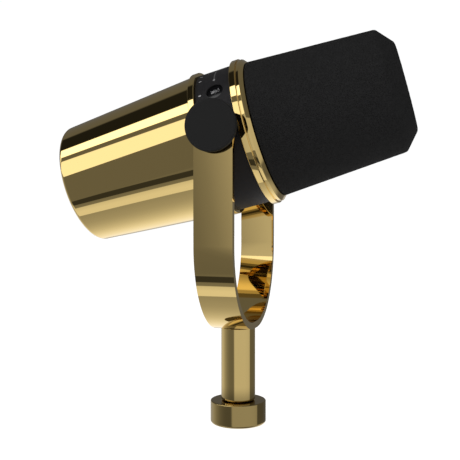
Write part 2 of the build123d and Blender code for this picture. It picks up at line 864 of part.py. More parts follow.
# ------------------------------------------------------------------ capsule and its mounting
cradle_outer = 17.0
cradle_inner = 15.8
cradle_end = 52.0
capsule_radius = 12.5
capsule_rear = 36.0
capsule_end = 60.0
capsule_bore = 11.0
diaphragm_station = 54.0
clamp_bore = 11.7
magnet_cup_radius = 9.5
magnet_radius = 7.0
mount_stations = (39.0, 49.0)
mount_length = 3.0
bulkhead_hole = 6.0
window_station = 24.0
window_length = 16.0
window_width = 8.0
lead_hole = 1.2
capsule_floor = 1.0
cup_base = capsule_rear + capsule_floor
cup_length = 12.5
cup_floor = 1.5
cup_wall = 1.3
magnet_length = 8.0
pole_length = 3.0
coil_start = capsule_rear + 11.0
coil_inner = magnet_radius + 0.3
coil_outer = magnet_radius + 0.7
clamp_width = 1.3
cap_thickness = 1.5
cap_hole = 1.1
cap_inner_circle = 4.0
cap_outer_circle = 8.0

with BuildPart() as capsule_bulkhead:
    with BuildSketch(across(bezel_front - pocket_depth)):
        Circle(pocket_radius - fit_gap)
        Circle(bulkhead_hole, mode=Mode.SUBTRACT)
    extrude(amount=pocket_depth)
capsule_bulkhead.part.label = "capsule_bulkhead"
export_step(capsule_bulkhead.part, "parts/capsule_bulkhead.step")

with BuildPart() as capsule_cradle:
    with BuildSketch(across(bezel_front)):
        Circle(cradle_outer)
        Circle(cradle_inner, mode=Mode.SUBTRACT)
    extrude(amount=cradle_end - bezel_front)
    for turn in range(4):
        with BuildSketch(surface_plane(45 + 90 * turn, cradle_inner - 2, window_station)):
            SlotOverall(window_length, window_width)
        extrude(amount=5, mode=Mode.SUBTRACT)
capsule_cradle.part.label = "capsule_cradle"
export_step(capsule_cradle.part, "parts/capsule_cradle.step")

with BuildPart() as shock_mounts:
    for station in mount_stations:
        with BuildSketch(across(station)):
            Circle(cradle_inner)
            Circle(capsule_radius, mode=Mode.SUBTRACT)
        extrude(amount=mount_length)
shock_mounts.part.label = "shock_mounts"
export_step(shock_mounts.part, "parts/shock_mounts.step")

with BuildPart() as capsule_housing:
    with BuildSketch(across(capsule_rear)):
        Circle(capsule_radius)
        Circle(lead_hole, mode=Mode.SUBTRACT)
    extrude(amount=capsule_end - capsule_rear)
    with BuildSketch(across(cup_base)):
        Circle(capsule_bore)
    extrude(amount=capsule_end - cup_base, mode=Mode.SUBTRACT)
    with BuildSketch(across(diaphragm_station)):
        Circle(clamp_bore)
    extrude(amount=capsule_end - diaphragm_station, mode=Mode.SUBTRACT)
capsule_housing.part.label = "capsule_housing"
export_step(capsule_housing.part, "parts/capsule_housing.step")

with BuildPart() as magnet_cup:
    with BuildSketch(across(cup_base)):
        Circle(magnet_cup_radius)
    extrude(amount=cup_length)
    with BuildSketch(across(cup_base + cup_floor)):
        Circle(magnet_cup_radius - cup_wall)
    extrude(amount=cup_length - cup_floor, mode=Mode.SUBTRACT)
magnet_cup.part.label = "magnet_cup"
export_step(magnet_cup.part, "parts/magnet_cup.step")

with BuildPart() as capsule_magnet:
    with BuildSketch(across(cup_base + cup_floor)):
        Circle(magnet_radius)
    extrude(amount=magnet_length)
capsule_magnet.part.label = "capsule_magnet"
export_step(capsule_magnet.part, "parts/capsule_magnet.step")

with BuildPart() as pole_piece:
    with BuildSketch(across(cup_base + cup_floor + magnet_length)):
        Circle(magnet_radius)
    extrude(amount=pole_length)
pole_piece.part.label = "pole_piece"
export_step(pole_piece.part, "parts/pole_piece.step")

with BuildPart() as voice_coil:
    with BuildSketch(across(coil_start)):
        Circle(coil_outer)
        Circle(coil_inner, mode=Mode.SUBTRACT)
    extrude(amount=diaphragm_station - coil_start)
voice_coil.part.label = "voice_coil"
export_step(voice_coil.part, "parts/voice_coil.step")

diaphragm_thickness = 0.3
dome_radius = 7.0
dome_rise = 1.6
dome_sphere = (dome_radius**2 + dome_rise**2) / (2 * dome_rise)
dome_front = diaphragm_station + dome_rise

with BuildPart() as diaphragm:
    with BuildSketch(side_plane):
        with BuildLine():
            Line((dome_front, 0), (dome_front + diaphragm_thickness, 0))
            RadiusArc(
                (dome_front + diaphragm_thickness, 0),
                (diaphragm_station + diaphragm_thickness, dome_radius),
                -dome_sphere,
            )
            Polyline(
                (diaphragm_station + diaphragm_thickness, dome_radius),
                (diaphragm_station + diaphragm_thickness, clamp_bore - slip_fit),
                (diaphragm_station, clamp_bore - slip_fit),
                (diaphragm_station, dome_radius),
            )
            RadiusArc((diaphragm_station, dome_radius), (dome_front, 0), dome_sphere)
        make_face()
    revolve(axis=mic_axis)
diaphragm.part.label = "diaphragm"
export_step(diaphragm.part, "parts/diaphragm.step")

with BuildPart() as diaphragm_clamp:
    with BuildSketch(across(diaphragm_station + diaphragm_thickness)):
        Circle(clamp_bore - slip_fit)
        Circle(clamp_bore - clamp_width, mode=Mode.SUBTRACT)
    extrude(amount=capsule_end - diaphragm_station - diaphragm_thickness)
diaphragm_clamp.part.label = "diaphragm_clamp"
export_step(diaphragm_clamp.part, "parts/diaphragm_clamp.step")

with BuildPart() as resonator_cap:
    with BuildSketch(across(capsule_end)):
        Circle(capsule_radius)
        Circle(cap_hole, mode=Mode.SUBTRACT)
        with PolarLocations(cap_inner_circle, 6):
            Circle(cap_hole, mode=Mode.SUBTRACT)
        with PolarLocations(cap_outer_circle, 12):
            Circle(cap_hole, mode=Mode.SUBTRACT)
    extrude(amount=cap_thickness)
resonator_cap.part.label = "resonator_cap"
export_step(resonator_cap.part, "parts/resonator_cap.step")

# ------------------------------------------------------------------ leads inside the body
lead_radius = 0.9
lead_height = board_top + connector_height / 2
socket_lead_height = audio_height - 7.0
socket_lead_bend = -51.0

with BuildPart() as capsule_lead:
    with BuildLine(side_plane) as capsule_route:
        FilletPolyline(
            (capsule_rear, 0),
            (6, 0),
            (-12, lead_height),
            (-24.5, lead_height),
            radius=8,
        )
    with BuildSketch(across(capsule_rear)):
        Circle(lead_radius)
    sweep(path=capsule_route.wires()[0])
capsule_lead.part.label = "capsule_lead"
export_step(capsule_lead.part, "parts/capsule_lead.step")

with BuildPart() as socket_lead:
    with BuildLine(side_plane) as socket_route:
        FilletPolyline(
            (audio_shell_end, socket_lead_height),
            (socket_lead_bend, socket_lead_height),
            (socket_lead_bend, board_top + connector_height),
            radius=4,
        )
    with BuildSketch(across(audio_shell_end)):
        with Locations((0, socket_lead_height)):
            Circle(lead_radius)
    sweep(path=socket_route.wires()[0])
socket_lead.part.label = "socket_lead"
export_step(socket_lead.part, "parts/socket_lead.step")
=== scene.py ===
import json
import math

import bmesh
import bpy
from mathutils import Euler, Matrix, Vector


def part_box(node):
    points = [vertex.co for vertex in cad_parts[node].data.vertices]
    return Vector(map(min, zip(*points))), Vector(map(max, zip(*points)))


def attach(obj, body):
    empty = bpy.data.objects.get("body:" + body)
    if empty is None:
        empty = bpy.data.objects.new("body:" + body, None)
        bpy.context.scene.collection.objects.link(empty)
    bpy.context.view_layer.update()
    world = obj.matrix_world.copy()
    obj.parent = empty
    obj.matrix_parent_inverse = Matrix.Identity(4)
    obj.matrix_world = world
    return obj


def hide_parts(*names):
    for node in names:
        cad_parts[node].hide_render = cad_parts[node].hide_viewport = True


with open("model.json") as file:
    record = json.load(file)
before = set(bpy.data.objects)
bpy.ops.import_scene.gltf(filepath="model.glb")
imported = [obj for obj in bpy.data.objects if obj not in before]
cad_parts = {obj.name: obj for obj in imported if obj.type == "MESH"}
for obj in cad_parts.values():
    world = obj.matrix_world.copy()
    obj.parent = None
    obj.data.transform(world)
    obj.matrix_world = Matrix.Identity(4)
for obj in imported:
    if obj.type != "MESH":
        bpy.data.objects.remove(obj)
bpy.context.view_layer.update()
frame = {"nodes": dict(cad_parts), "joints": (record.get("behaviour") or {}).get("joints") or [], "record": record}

bl_info = {
    "name": "Yoke Microphone",
    "version": (1, 0, 0),
    "blender": (4, 5, 0),
    "location": "View3D > Sidebar > Microphone",
    "description": "Finishes an end-address microphone with a foam windscreen, held in a yoke on a stand nut",
    "category": "Object",
}

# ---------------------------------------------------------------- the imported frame
JOINTS = {joint["name"]: joint for joint in frame["joints"]}
SLOT_OF_NODE = {part["node"]: part["material_slot"] for part in frame["record"]["subparts"]}
SLOT_COLOUR = {entry["slot"]: tuple(entry["base_color"]) for entry in frame["record"]["materials"]}
PIVOT = Vector(JOINTS["microphone_tilt"]["pos_m"])
FORWARD = Vector(JOINTS["windscreen_pull"]["axis"]).normalized()
RIGHT = Vector((0.0, -1.0, 0.0))
UP = RIGHT.cross(FORWARD)

MM = 0.001
UPRIGHT = Matrix.Scale(MM, 4)
# The microphone's own space, in millimetres: x straight up, y to its right, z along its axis to the front.
BODY_SPACE = (
    Matrix.Translation(PIVOT)
    @ Matrix((UP, RIGHT, FORWARD)).transposed().to_4x4()
    @ Matrix.Scale(MM, 4)
)
ON_AXIS = 1e-5  # millimetres, what counts as lying on a turning axis
TURN_STEPS = 192
BROAD_TURN_STEPS = 256
SMALL_TURN_STEPS = 64
SHARP = math.radians(25)  # an edge that bends more than this is rounded
SMOOTH = math.radians(50)  # an edge that bends less than this is shaded smooth
# Stations along the microphone's axis, in millimetres in front of the pivot.
BEZEL_FRONT = 10.7
BASE_FRONT = 13.9
FRONT_SECTOR = (-78.0, 101.0)  # where the studio's front panels stand, in degrees round from the front
MADE = {}  # the finished materials, by slot


def size(name, description, millimetres):
    """A length that a user may change, held in metres."""
    return bpy.props.FloatProperty(
        name=name,
        description=description,
        default=millimetres * MM,
        min=0.0,
        precision=5,
        unit="LENGTH",
        subtype="DISTANCE",
    )


def tint(name, description, colour):
    """A colour that a user may change."""
    return bpy.props.FloatVectorProperty(
        name=name, description=description, default=colour, min=0.0, max=1.0, size=3, subtype="COLOR"
    )


def share(name, description, value):
    """A plain number from nought to one that a user may change."""
    return bpy.props.FloatProperty(
        name=name, description=description, default=value, min=0.0, max=1.0, subtype="FACTOR"
    )


def angle(name, description, degrees):
    """An angle that a user may change."""
    return bpy.props.FloatProperty(
        name=name, description=description, default=math.radians(degrees), subtype="ANGLE", unit="ROTATION"
    )


# ---------------------------------------------------------------- shader arithmetic
class Value:
    """One output socket, which takes part in Python arithmetic by adding Math nodes."""

    def __init__(self, shading, socket):
        self.shading = shading
        self.socket = socket

    def math(self, operation, *others):
        inputs = dict(enumerate([self, *others]))
        return self.shading.make("ShaderNodeMath", {"operation": operation}, inputs)

    def __add__(self, other):
        return self.math("ADD", other)

    def __sub__(self, other):
        return self.math("SUBTRACT", other)

    def __rsub__(self, other):
        return self.math("MULTIPLY", -1.0) + other

    def __mul__(self, other):
        return self.math("MULTIPLY", other)

    def __truediv__(self, other):
        return self.math("DIVIDE", other)

    __radd__ = __add__
    __rmul__ = __mul__


class Shading:
    """Makes the nodes of one material or world."""

    def __init__(self, tree):
        self.tree = tree
        tree.nodes.clear()

    def make(self, kind, settings=None, inputs=None, output=0):
        """Adds a node, sets its settings, then its inputs, and returns one of its outputs."""
        node = self.tree.nodes.new(kind)
        for name, value in (settings or {}).items():
            if name == "stops":
                set_stops(node.color_ramp, value)
            else:
                setattr(node, name, value)
        for name, value in (inputs or {}).items():
            if isinstance(value, Value):
                self.tree.links.new(value.socket, node.inputs[name])
            else:
                node.inputs[name].default_value = value
        return Value(self, node.outputs[output]) if len(node.outputs) else node

    def place(self):
        """Object coordinates of the point being shaded, in metres."""
        return self.make("ShaderNodeTexCoord", output="Object")

    def noise(self, millimetres, detail=2.0, roughness=0.5, vector=None):
        """Cloudy variation from 0 to 1, with blotches about that big."""
        inputs = {"Scale": 1.0 / (millimetres * MM), "Detail": detail, "Roughness": roughness}
        inputs["Vector"] = vector or self.place()
        return self.make("ShaderNodeTexNoise", None, inputs)

    def cell_walls(self, millimetres):
        """Distance to the nearest wall, for cells about that big."""
        inputs = {"Scale": 1.0 / (millimetres * MM), "Vector": self.place()}
        return self.make("ShaderNodeTexVoronoi", {"feature": "DISTANCE_TO_EDGE"}, inputs)

    def step(self, value, low, high, to_low=0.0, to_high=1.0):
        """Smooth step of a value from one number to another."""
        inputs = {"Value": value, "From Min": low, "From Max": high, "To Min": to_low, "To Max": to_high}
        return self.make("ShaderNodeMapRange", {"interpolation_type": "SMOOTHSTEP"}, inputs)

    def between(self, factor, first, second):
        """Mix of two colours."""
        inputs = {0: factor, 6: first, 7: second}
        return self.make("ShaderNodeMix", {"data_type": "RGBA"}, inputs, output=2)

    def levels(self, value, low, high, stops):
        """Brightness that follows the stops, (value, brightness), between two values."""
        span = high - low
        greys = [((at - low) / span, (level, level, level, 1.0)) for at, level in stops]
        place = self.make("ShaderNodeMapRange", None, {"Value": value, "From Min": low, "From Max": high})
        return self.make("ShaderNodeValToRGB", {"stops": greys}, {"Fac": place})

    def between_numbers(self, value, low, high, soft):
        """One between two numbers, nought outside."""
        rising = self.step(value, low - soft, low + soft)
        return rising * (1.0 - self.step(value, high - soft, high + soft))

    def bump(self, height, millimetres, strength=1.0):
        """Normal bent by a height that goes from 0 to 1 over that many millimetres."""
        inputs = {"Height": height, "Distance": millimetres * MM, "Strength": strength}
        return self.make("ShaderNodeBump", None, inputs)


def blend(factor, first, second):
    """First number where the factor is nought, second where it is one."""
    return first + (second - first) * factor


def set_stops(color_ramp, stops):
    """Gives a colour ramp its stops, (place, colour) in order."""
    while len(color_ramp.elements) > 1:
        color_ramp.elements.remove(color_ramp.elements[-1])
    color_ramp.elements[0].position = stops[0][0]
    color_ramp.elements[0].color = stops[0][1]
    for place, colour in stops[1:]:
        color_ramp.elements.new(place).color = colour


def opaque(colour, factor=1.0):
    """Colour with an alpha of one, made lighter or darker by a factor."""
    return tuple(min(1.0, channel * factor) for channel in colour) + (1.0,)


def new_finish(name):
    """Empty material with its node maker."""
    material = bpy.data.materials.new(name)
    material.use_nodes = True
    return material, Shading(material.node_tree)


def surface(shading, inputs):
    """Principled shader joined to the material's output."""
    shader = shading.make("ShaderNodeBsdfPrincipled", None, inputs)
    shading.make("ShaderNodeOutputMaterial", None, {"Surface": shader})


# ---------------------------------------------------------------- finishes
def polished_plate(name, colour, roughness):
    """Mirror-bright plating: faint cloudy haze, polishing marks, and painted shade low on the stand, where the
    colour is darker on the nut and the post's foot.
    """
    material, shading = new_finish(name)
    haze = shading.noise(9.0, detail=3.0)
    hairline = shading.noise(0.25, detail=1.0)
    height = shading.make("ShaderNodeSeparateXYZ", None, {0: shading.place()}, output=2)
    # Painted shade: the plating's colour is darkened to about half up to the nut's top, and fades back to full
    # colour by 18 mm up the post.
    nut_top, painted_shade_top = 0.0103, 0.018
    out_of_painted_shade = shading.step(height, nut_top, painted_shade_top)
    tone = shading.between(out_of_painted_shade, opaque(colour, 0.53), opaque(colour))
    tone = shading.between(haze * 0.04, tone, opaque(colour, 0.8))
    gloss = shading.step(haze * 0.8 + hairline * 0.2, 0.3, 0.7, roughness * 0.7, roughness * 1.3)
    surface(shading, {"Base Color": tone, "Metallic": 1.0, "Roughness": gloss})
    return material


def moulding(name, colour, roughness, grain, depth, variation, coat=0.0, shine=0.5):
    """Moulded or painted surface: fine spark-eroded grain, with a little wear in tone and gloss."""
    material, shading = new_finish(name)
    cloud = shading.noise(6.0, detail=4.0, roughness=0.6)
    fine = shading.noise(grain, detail=2.0, roughness=0.6)
    tone = shading.between(
        cloud * 0.5 + fine * 0.5, opaque(colour, 1.0 - variation), opaque(colour, 1.0 + variation)
    )
    gloss = shading.step(cloud * 0.4 + fine * 0.6, 0.3, 0.7, roughness - 0.05, roughness + 0.05)
    inputs = {"Base Color": tone, "Roughness": gloss, "Normal": shading.bump(fine, depth)}
    inputs["Specular IOR Level"] = shine
    if coat:
        inputs.update({"Coat Weight": coat, "Coat Roughness": 0.06})
    surface(shading, inputs)
    return material


def machined(name, colour, roughness, grain=0.5, depth=0.004, stretch=(1.0, 1.0, 6.0)):
    """Turned, drawn or plated metal: fine tool marks drawn out in one direction."""
    material, shading = new_finish(name)
    drawn = shading.make("ShaderNodeMapping", None, {"Vector": shading.place(), "Scale": stretch})
    marks = shading.noise(grain, detail=3.0, roughness=0.7, vector=drawn)
    cloud = shading.noise(5.0, detail=2.0)
    tone = shading.between(cloud, opaque(colour, 0.9), opaque(colour, 1.05))
    gloss = shading.step(marks * 0.6 + cloud * 0.4, 0.3, 0.7, roughness * 0.7, roughness * 1.3)
    inputs = {"Base Color": tone, "Metallic": 1.0, "Roughness": gloss, "Normal": shading.bump(marks, depth)}
    surface(shading, inputs)
    return material


def open_cell_foam(name, colour, pore):
    """Open-cell foam: pores painted darker as shade in their hollows, between paler skeleton walls, with loose
    patches of tone.
    """
    material, shading = new_finish(name)
    patches = shading.noise(pore * 3.4, detail=3.0, roughness=0.7)
    walls = shading.cell_walls(pore)
    pores = shading.step(walls, 0.02, 0.35)
    crumbs = shading.noise(pore * 0.8, detail=2.0)
    # Painted shade: the pores' hollows are darkened; the patches and crumbs are random tone.
    shade = pores * 0.45 + crumbs * 0.25 + (1.0 - patches) * 0.3
    tone = shading.between(shade, opaque(colour, 1.45), opaque(colour, 0.55))
    height = (1.0 - pores) * 0.7 + crumbs * 0.3
    surface(
        shading,
        {
            "Base Color": tone,
            "Roughness": 1.0,
            "Specular IOR Level": 0.12,
            "Normal": shading.bump(height, pore * 0.45, 0.8),
        },
    )
    return material


def circuit_board(name, colour):
    """Solder-masked laminate with lines of copper under the mask."""
    material, shading = new_finish(name)
    squares = shading.make(
        "ShaderNodeTexBrick",
        {"offset": 0.37, "squash": 0.6, "squash_frequency": 3},
        {
            "Vector": shading.place(),
            "Scale": 420.0,
            "Color1": (0.0, 0.0, 0.0, 1.0),
            "Color2": (0.25, 0.25, 0.25, 1.0),
            "Mortar": (1.0, 1.0, 1.0, 1.0),
            "Mortar Size": 0.04,
        },
    )
    fine = shading.noise(0.4)
    tone = shading.between(squares, opaque(colour), opaque((0.05, 0.2, 0.09)))
    inputs = {
        "Base Color": tone,
        "Roughness": shading.step(fine, 0.2, 0.8, 0.22, 0.34),
        "Normal": shading.bump(squares, 0.03),
    }
    surface(shading, inputs)
    return material


def winding(name, colour):
    """Enamelled wire in close turns along the microphone's axis, with painted shade between the turns and painted
    highlight on them.
    """
    material, shading = new_finish(name)
    spin = Euler((0.0, -math.atan2(FORWARD.z, FORWARD.x), 0.0))
    level = shading.make(
        "ShaderNodeMapping", {"vector_type": "TEXTURE"}, {"Vector": shading.place(), "Rotation": spin}
    )
    turns = shading.make(
        "ShaderNodeTexWave", {"bands_direction": "X"}, {"Vector": level, "Scale": 2500.0, "Distortion": 0.4}
    )
    # Painted shade and highlight: the tone is darker in the grooves between the wire's turns and lighter on their
    # crests.
    tone = shading.between(turns, opaque(colour, 0.6), opaque(colour, 1.1))
    inputs = {"Base Color": tone, "Metallic": 0.8, "Roughness": 0.3, "Normal": shading.bump(turns, 0.04)}
    surface(shading, inputs)
    return material


def lamp_lens(name, colour, glow):
    """Frosted light pipe, faintly lit from behind."""
    material, shading = new_finish(name)
    frost = shading.noise(0.3, detail=3.0)
    tone = shading.between(frost, opaque(colour, 0.85), opaque(colour, 1.1))
    surface(
        shading,
        {
            "Base Color": tone,
            "Roughness": shading.step(frost, 0.3, 0.7, 0.3, 0.5),
            "Emission Color": tone,
            "Emission Strength": glow,
        },
    )
    return material


# Moulded finishes by slot: roughness, grain in millimetres, its depth, change of tone, coat and shine.
MOULDED = {
    "black_body": (0.5, 0.3, 0.008, 0.1, 0.0, 0.2),
    "black_knob": (0.6, 0.4, 0.01, 0.06, 0.0, 0.12),
    "button_black": (0.14, 0.6, 0.0005, 0.1, 0.0, 0.4),
    "grille_steel": (0.4, 0.5, 0.01, 0.2),
    "panel_black": (0.48, 0.25, 0.015, 0.15),
    "bush_nylon": (0.45, 0.4, 0.01, 0.1),
    "insulator_black": (0.4, 0.5, 0.008, 0.1),
    "chip_black": (0.55, 0.12, 0.01, 0.2),
    "connector_white": (0.4, 0.5, 0.006, 0.05),
    "cradle_plastic": (0.55, 0.3, 0.015, 0.15),
    "mount_rubber": (0.8, 0.5, 0.01, 0.1),
    "diaphragm_film": (0.15, 1.5, 0.01, 0.08, 0.5),
    "lead_grey": (0.6, 0.5, 0.01, 0.1),
}
# Metal finishes by slot: roughness, tool marks in millimetres, their depth, and which way they are drawn.
MACHINED = {
    "bright_screw": (0.3,),
    "black_screw": (0.4,),
    "clamp_steel": (0.3, 0.3, 0.006, (1.0, 8.0, 1.0)),
    "insert_brass": (0.25, 0.3, 0.006, (1.0, 8.0, 1.0)),
    "socket_chrome": (0.16, 0.6, 0.002),
    "contact_gold": (0.18, 0.4, 0.002),
    "port_steel": (0.28, 0.3, 0.003),
    "can_aluminium": (0.3,),
    "capsule_alloy": (0.25,),
    "magnet_nickel": (0.15, 0.8, 0.002),
    "soft_iron": (0.38,),
}


def new_finish_for(slot):
    """Makes the material of one of the record's slots."""
    look = bpy.context.scene.microphone.finishes
    chosen = {"black_body": look.band, "black_knob": look.knob, "button_black": look.button}
    colour = chosen.get(slot, SLOT_COLOUR[slot])
    if slot in MOULDED:
        return moulding(slot, colour, *MOULDED[slot])
    if slot in MACHINED:
        return machined(slot, colour, *MACHINED[slot])
    others = {
        "polished_gold": lambda: polished_plate(slot, look.gold, look.gold_roughness),
        "foam": lambda: open_cell_foam(slot, look.foam, look.foam_pore / MM),
        "board_green": lambda: circuit_board(slot, colour),
        "light_guide": lambda: lamp_lens(slot, look.light_line, 0.05),
        "pip_clear": lambda: lamp_lens(slot, look.pip, 0.1),
        "coil_copper": lambda: winding(slot, colour),
    }
    return others[slot]()


def finish_for(slot):
    """The material of one of the record's slots, made the first time it is asked for."""
    if slot not in MADE:
        MADE[slot] = new_finish_for(slot)
    return MADE[slot]


# ---------------------------------------------------------------- mesh helpers
def turned(profile, steps=TURN_STEPS):
    """Closed profile of (along, out) in millimetres, spun a full turn about the local z axis."""
    bm = bmesh.new()
    points = [bm.verts.new((out, 0.0, along)) for along, out in profile]
    for first, second in zip(points, points[1:] + points[:1]):
        if max(first.co.x, second.co.x) > ON_AXIS:
            bm.edges.new((first, second))
    bmesh.ops.spin(
        bm,
        geom=bm.verts[:] + bm.edges[:],
        cent=(0.0, 0.0, 0.0),
        axis=(0.0, 0.0, 1.0),
        angle=math.tau,
        steps=steps,
        use_merge=True,
    )
    bmesh.ops.remove_doubles(bm, verts=bm.verts[:], dist=ON_AXIS)
    bmesh.ops.recalc_face_normals(bm, faces=bm.faces[:])
    return bm


def round_edges(bm, edges, width, segments):
    """Rounds those edges."""
    bmesh.ops.bevel(
        bm,
        geom=edges,
        offset=width,
        offset_type="OFFSET",
        segments=segments,
        profile=0.5,
        affect="EDGES",
        clamp_overlap=True,
        material=-1,
    )


def round_ring(bm, along, out, width, segments):
    """Rounds the ring of edges of a turned piece at one place of its profile."""
    loose = 0.02

    def on_ring(vertex):
        radius = math.hypot(vertex.co.x, vertex.co.y)
        return abs(vertex.co.z - along) < loose and abs(radius - out) < loose

    ring = [edge for edge in bm.edges if all(on_ring(vertex) for vertex in edge.verts)]
    round_edges(bm, ring, width, segments)


def round_sharp(bm, width, segments=2, wanted=lambda edge: True):
    """Rounds the wanted edges between faces that meet at more than a slight angle."""
    paired = [edge for edge in bm.edges if len(edge.link_faces) == 2]
    edges = [edge for edge in paired if edge.calc_face_angle() > SHARP and wanted(edge)]
    round_edges(bm, edges, width, segments)


def verts_of(items):
    """The vertices in what a bmesh operator returned."""
    return [item for item in items if isinstance(item, bmesh.types.BMVert)]


def outline_plate(bm, thickness):
    """Fills the flat outline in a bmesh, holes left open, and thickens it along local z."""
    bmesh.ops.triangle_fill(bm, use_beauty=True, edges=bm.edges[:], normal=(0.0, 0.0, 1.0))
    grown = bmesh.ops.extrude_face_region(bm, geom=bm.faces[:], use_keep_orig=True)
    bmesh.ops.translate(bm, verts=verts_of(grown["geom"]), vec=(0.0, 0.0, thickness))
    bmesh.ops.recalc_face_normals(bm, faces=bm.faces[:])


def block(length, width, depth, edge=0.0):
    """Rectangular solid with softened edges, its foot at z nought."""
    bm = bmesh.new()
    bmesh.ops.create_cube(bm, size=1.0)
    bmesh.ops.scale(bm, vec=(length, width, depth), verts=bm.verts[:])
    bmesh.ops.translate(bm, vec=(0.0, 0.0, depth / 2), verts=bm.verts[:])
    if edge:
        round_sharp(bm, edge)
    return bm


def pill(length, width, depth, segments=10):
    """Solid with round ends, lying along local x, its foot at z nought."""
    bm = block(length, width, depth)
    uprights = [edge for edge in bm.edges if abs(edge.verts[0].co.z - edge.verts[1].co.z) > depth / 2]
    round_edges(bm, uprights, min(length, width) * 0.499, segments)
    return bm


def rod(start, end, radius, steps=SMALL_TURN_STEPS, bore=0.0):
    """Round solid, or a tube where it has a bore, along local z from one station to another."""
    return turned([(start, bore), (start, radius), (end, radius), (end, bore)], steps)


def moved(bm, place):
    """The same bmesh carried to a place."""
    bmesh.ops.transform(bm, matrix=place, verts=bm.verts[:])
    return bm


def gathered(*parts):
    """Several bmeshes as one."""
    whole = bmesh.new()
    for part in parts:
        mesh = bpy.data.meshes.new("part")
        part.to_mesh(mesh)
        part.free()
        whole.from_mesh(mesh)
        bpy.data.meshes.remove(mesh)
    return whole


def loose_object(name, bm):
    """Object that holds a bmesh, which is freed."""
    mesh = bpy.data.meshes.new(name)
    bm.to_mesh(mesh)
    bm.free()
    piece = bpy.data.objects.new(name, mesh)
    bpy.context.scene.collection.objects.link(piece)
    return piece


def carved(bm, *cutters, operation="DIFFERENCE"):
    """Closed bmesh with closed cutters taken out of it, or joined to it."""
    body = loose_object("carved body", bm)
    tools = [loose_object("cutter", cutter) for cutter in cutters]
    for tool in tools:
        cut = body.modifiers.new("cut", "BOOLEAN")
        cut.operation = operation
        cut.solver = "EXACT"
        cut.object = tool
    result = bmesh.new()
    result.from_object(body, bpy.context.evaluated_depsgraph_get())
    for piece in [body, *tools]:
        mesh = piece.data
        bpy.data.objects.remove(piece)
        bpy.data.meshes.remove(mesh)
    bmesh.ops.remove_doubles(result, verts=result.verts[:], dist=ON_AXIS)
    return result


def finished(name, bm, slot, stands_for=(), place=BODY_SPACE, body="microphone", even=True):
    """Turns a bmesh into a piece that rides on a body and takes its finish from a slot."""
    moved(bm, place)
    if place.determinant() < 0:
        bmesh.ops.reverse_faces(bm, faces=bm.faces[:])
    piece = loose_object(name, bm)
    piece.data.materials.append(finish_for(slot))
    piece.data.shade_smooth()
    if even:
        piece.data.set_sharp_from_angle(angle=SMOOTH)
        shading = piece.modifiers.new("even shading", "WEIGHTED_NORMAL")
        shading.keep_sharp = True
    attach(piece, body)
    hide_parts(*stands_for)
    return piece


def beside(side):
    """Pivot space of one side: local z points outward along the pivot axis, local x forward."""
    turn = Matrix(((1.0, 0.0, 0.0), (0.0, 0.0, side), (0.0, -side, 0.0))).to_4x4()
    return Matrix.Translation(PIVOT) @ turn @ Matrix.Scale(MM, 4)


def on_skin(turn, radius, station):
    """Place on the band, in body space: local z outward, local x to the rear, local y down the right side."""
    return (
        Matrix.Rotation(turn, 4, "Z")
        @ Matrix.Translation((radius, 0.0, station))
        @ Matrix.Rotation(math.pi / 2, 4, "Y")
    )


def screw_places(circle):
    """Places of the rear panel's three screws in body space: right, left and below."""
    spots = ((0.0, circle), (0.0, -circle), (-circle, 0.0))
    return [Matrix.Translation((up, right, 0.0)) for up, right in spots]


# ---------------------------------------------------------------- what a user may change
class StandSizes(bpy.types.PropertyGroup):
    """The nut that screws on to the stand, and the post above it."""

    nut_radius: size("Nut radius", "Outside radius of the stand nut", 12.63)
    nut_height: size("Nut height", "Height of the stand nut", 10.3)
    nut_edge: size("Nut edge", "Rounding of the nut's lower edge", 1.25)
    socket_radius: size("Socket radius", "Inside radius of the thread in the nut", 7.45)
    socket_depth: size("Socket depth", "Depth of the thread in the nut", 6.0)
    thread_pitch: size("Thread pitch", "Distance from one turn of the thread to the next", 0.94)
    thread_depth: size("Thread depth", "Depth of the thread's grooves", 0.45)
    post_radius: size("Post radius", "Radius of the post", 7.76)
    post_edge: size("Post edge", "Rounding of the post's lower edge", 0.8)


class YokeSizes(bpy.types.PropertyGroup):
    """The strap that holds the microphone."""

    width: size("Strap width", "Width of the strap", 16.4)
    thickness: size("Strap thickness", "Thickness of the strap", 3.0)
    outer_half: size("Half span", "Outer face of each arm from the middle", 40.7)
    drop: size("Drop", "Pivot to the strap's lowest face", 86.3)
    bend: size("Bend radius", "Outer radius of the strap's bends", 38.0)
    hole_radius: size("Hole radius", "Radius of the pivot holes", 5.0)
    edge: size("Edge softness", "Rounding of the strap's long edges", 0.3)


class KnobSizes(bpy.types.PropertyGroup):
    """The two clamp knobs."""

    radius: size("Knob radius", "Radius of each knob", 10.7)
    face: size("Knob face", "Outer face of each knob from the middle", 45.0)
    thickness: size("Knob thickness", "Thickness of each knob's disc", 2.8)
    rim: size("Knob rim", "Rounding of the knob's outer rim", 0.7)


class HousingSizes(bpy.types.PropertyGroup):
    """The tapered rear housing and the ring at its front."""

    rear: size("Rear end", "Station of the housing's rear end", 77.0)
    rear_radius: size("Rear radius", "Radius of the housing at its rear end", 27.8)
    front: size("Front end", "Station of the housing's front end", 11.0)
    front_radius: size("Front radius", "Radius of the housing at its front end", 32.25)
    wall: size("Wall", "Thickness of the housing's wall", 2.2)
    corner: size("Rear corner", "Rounding of the housing's rear corner", 1.8)
    ring_radius: size("Ring radius", "Radius of the ring at the housing's front", 33.2)
    ring_edge: size("Ring edge", "Rounding of the ring's edges", 0.3)


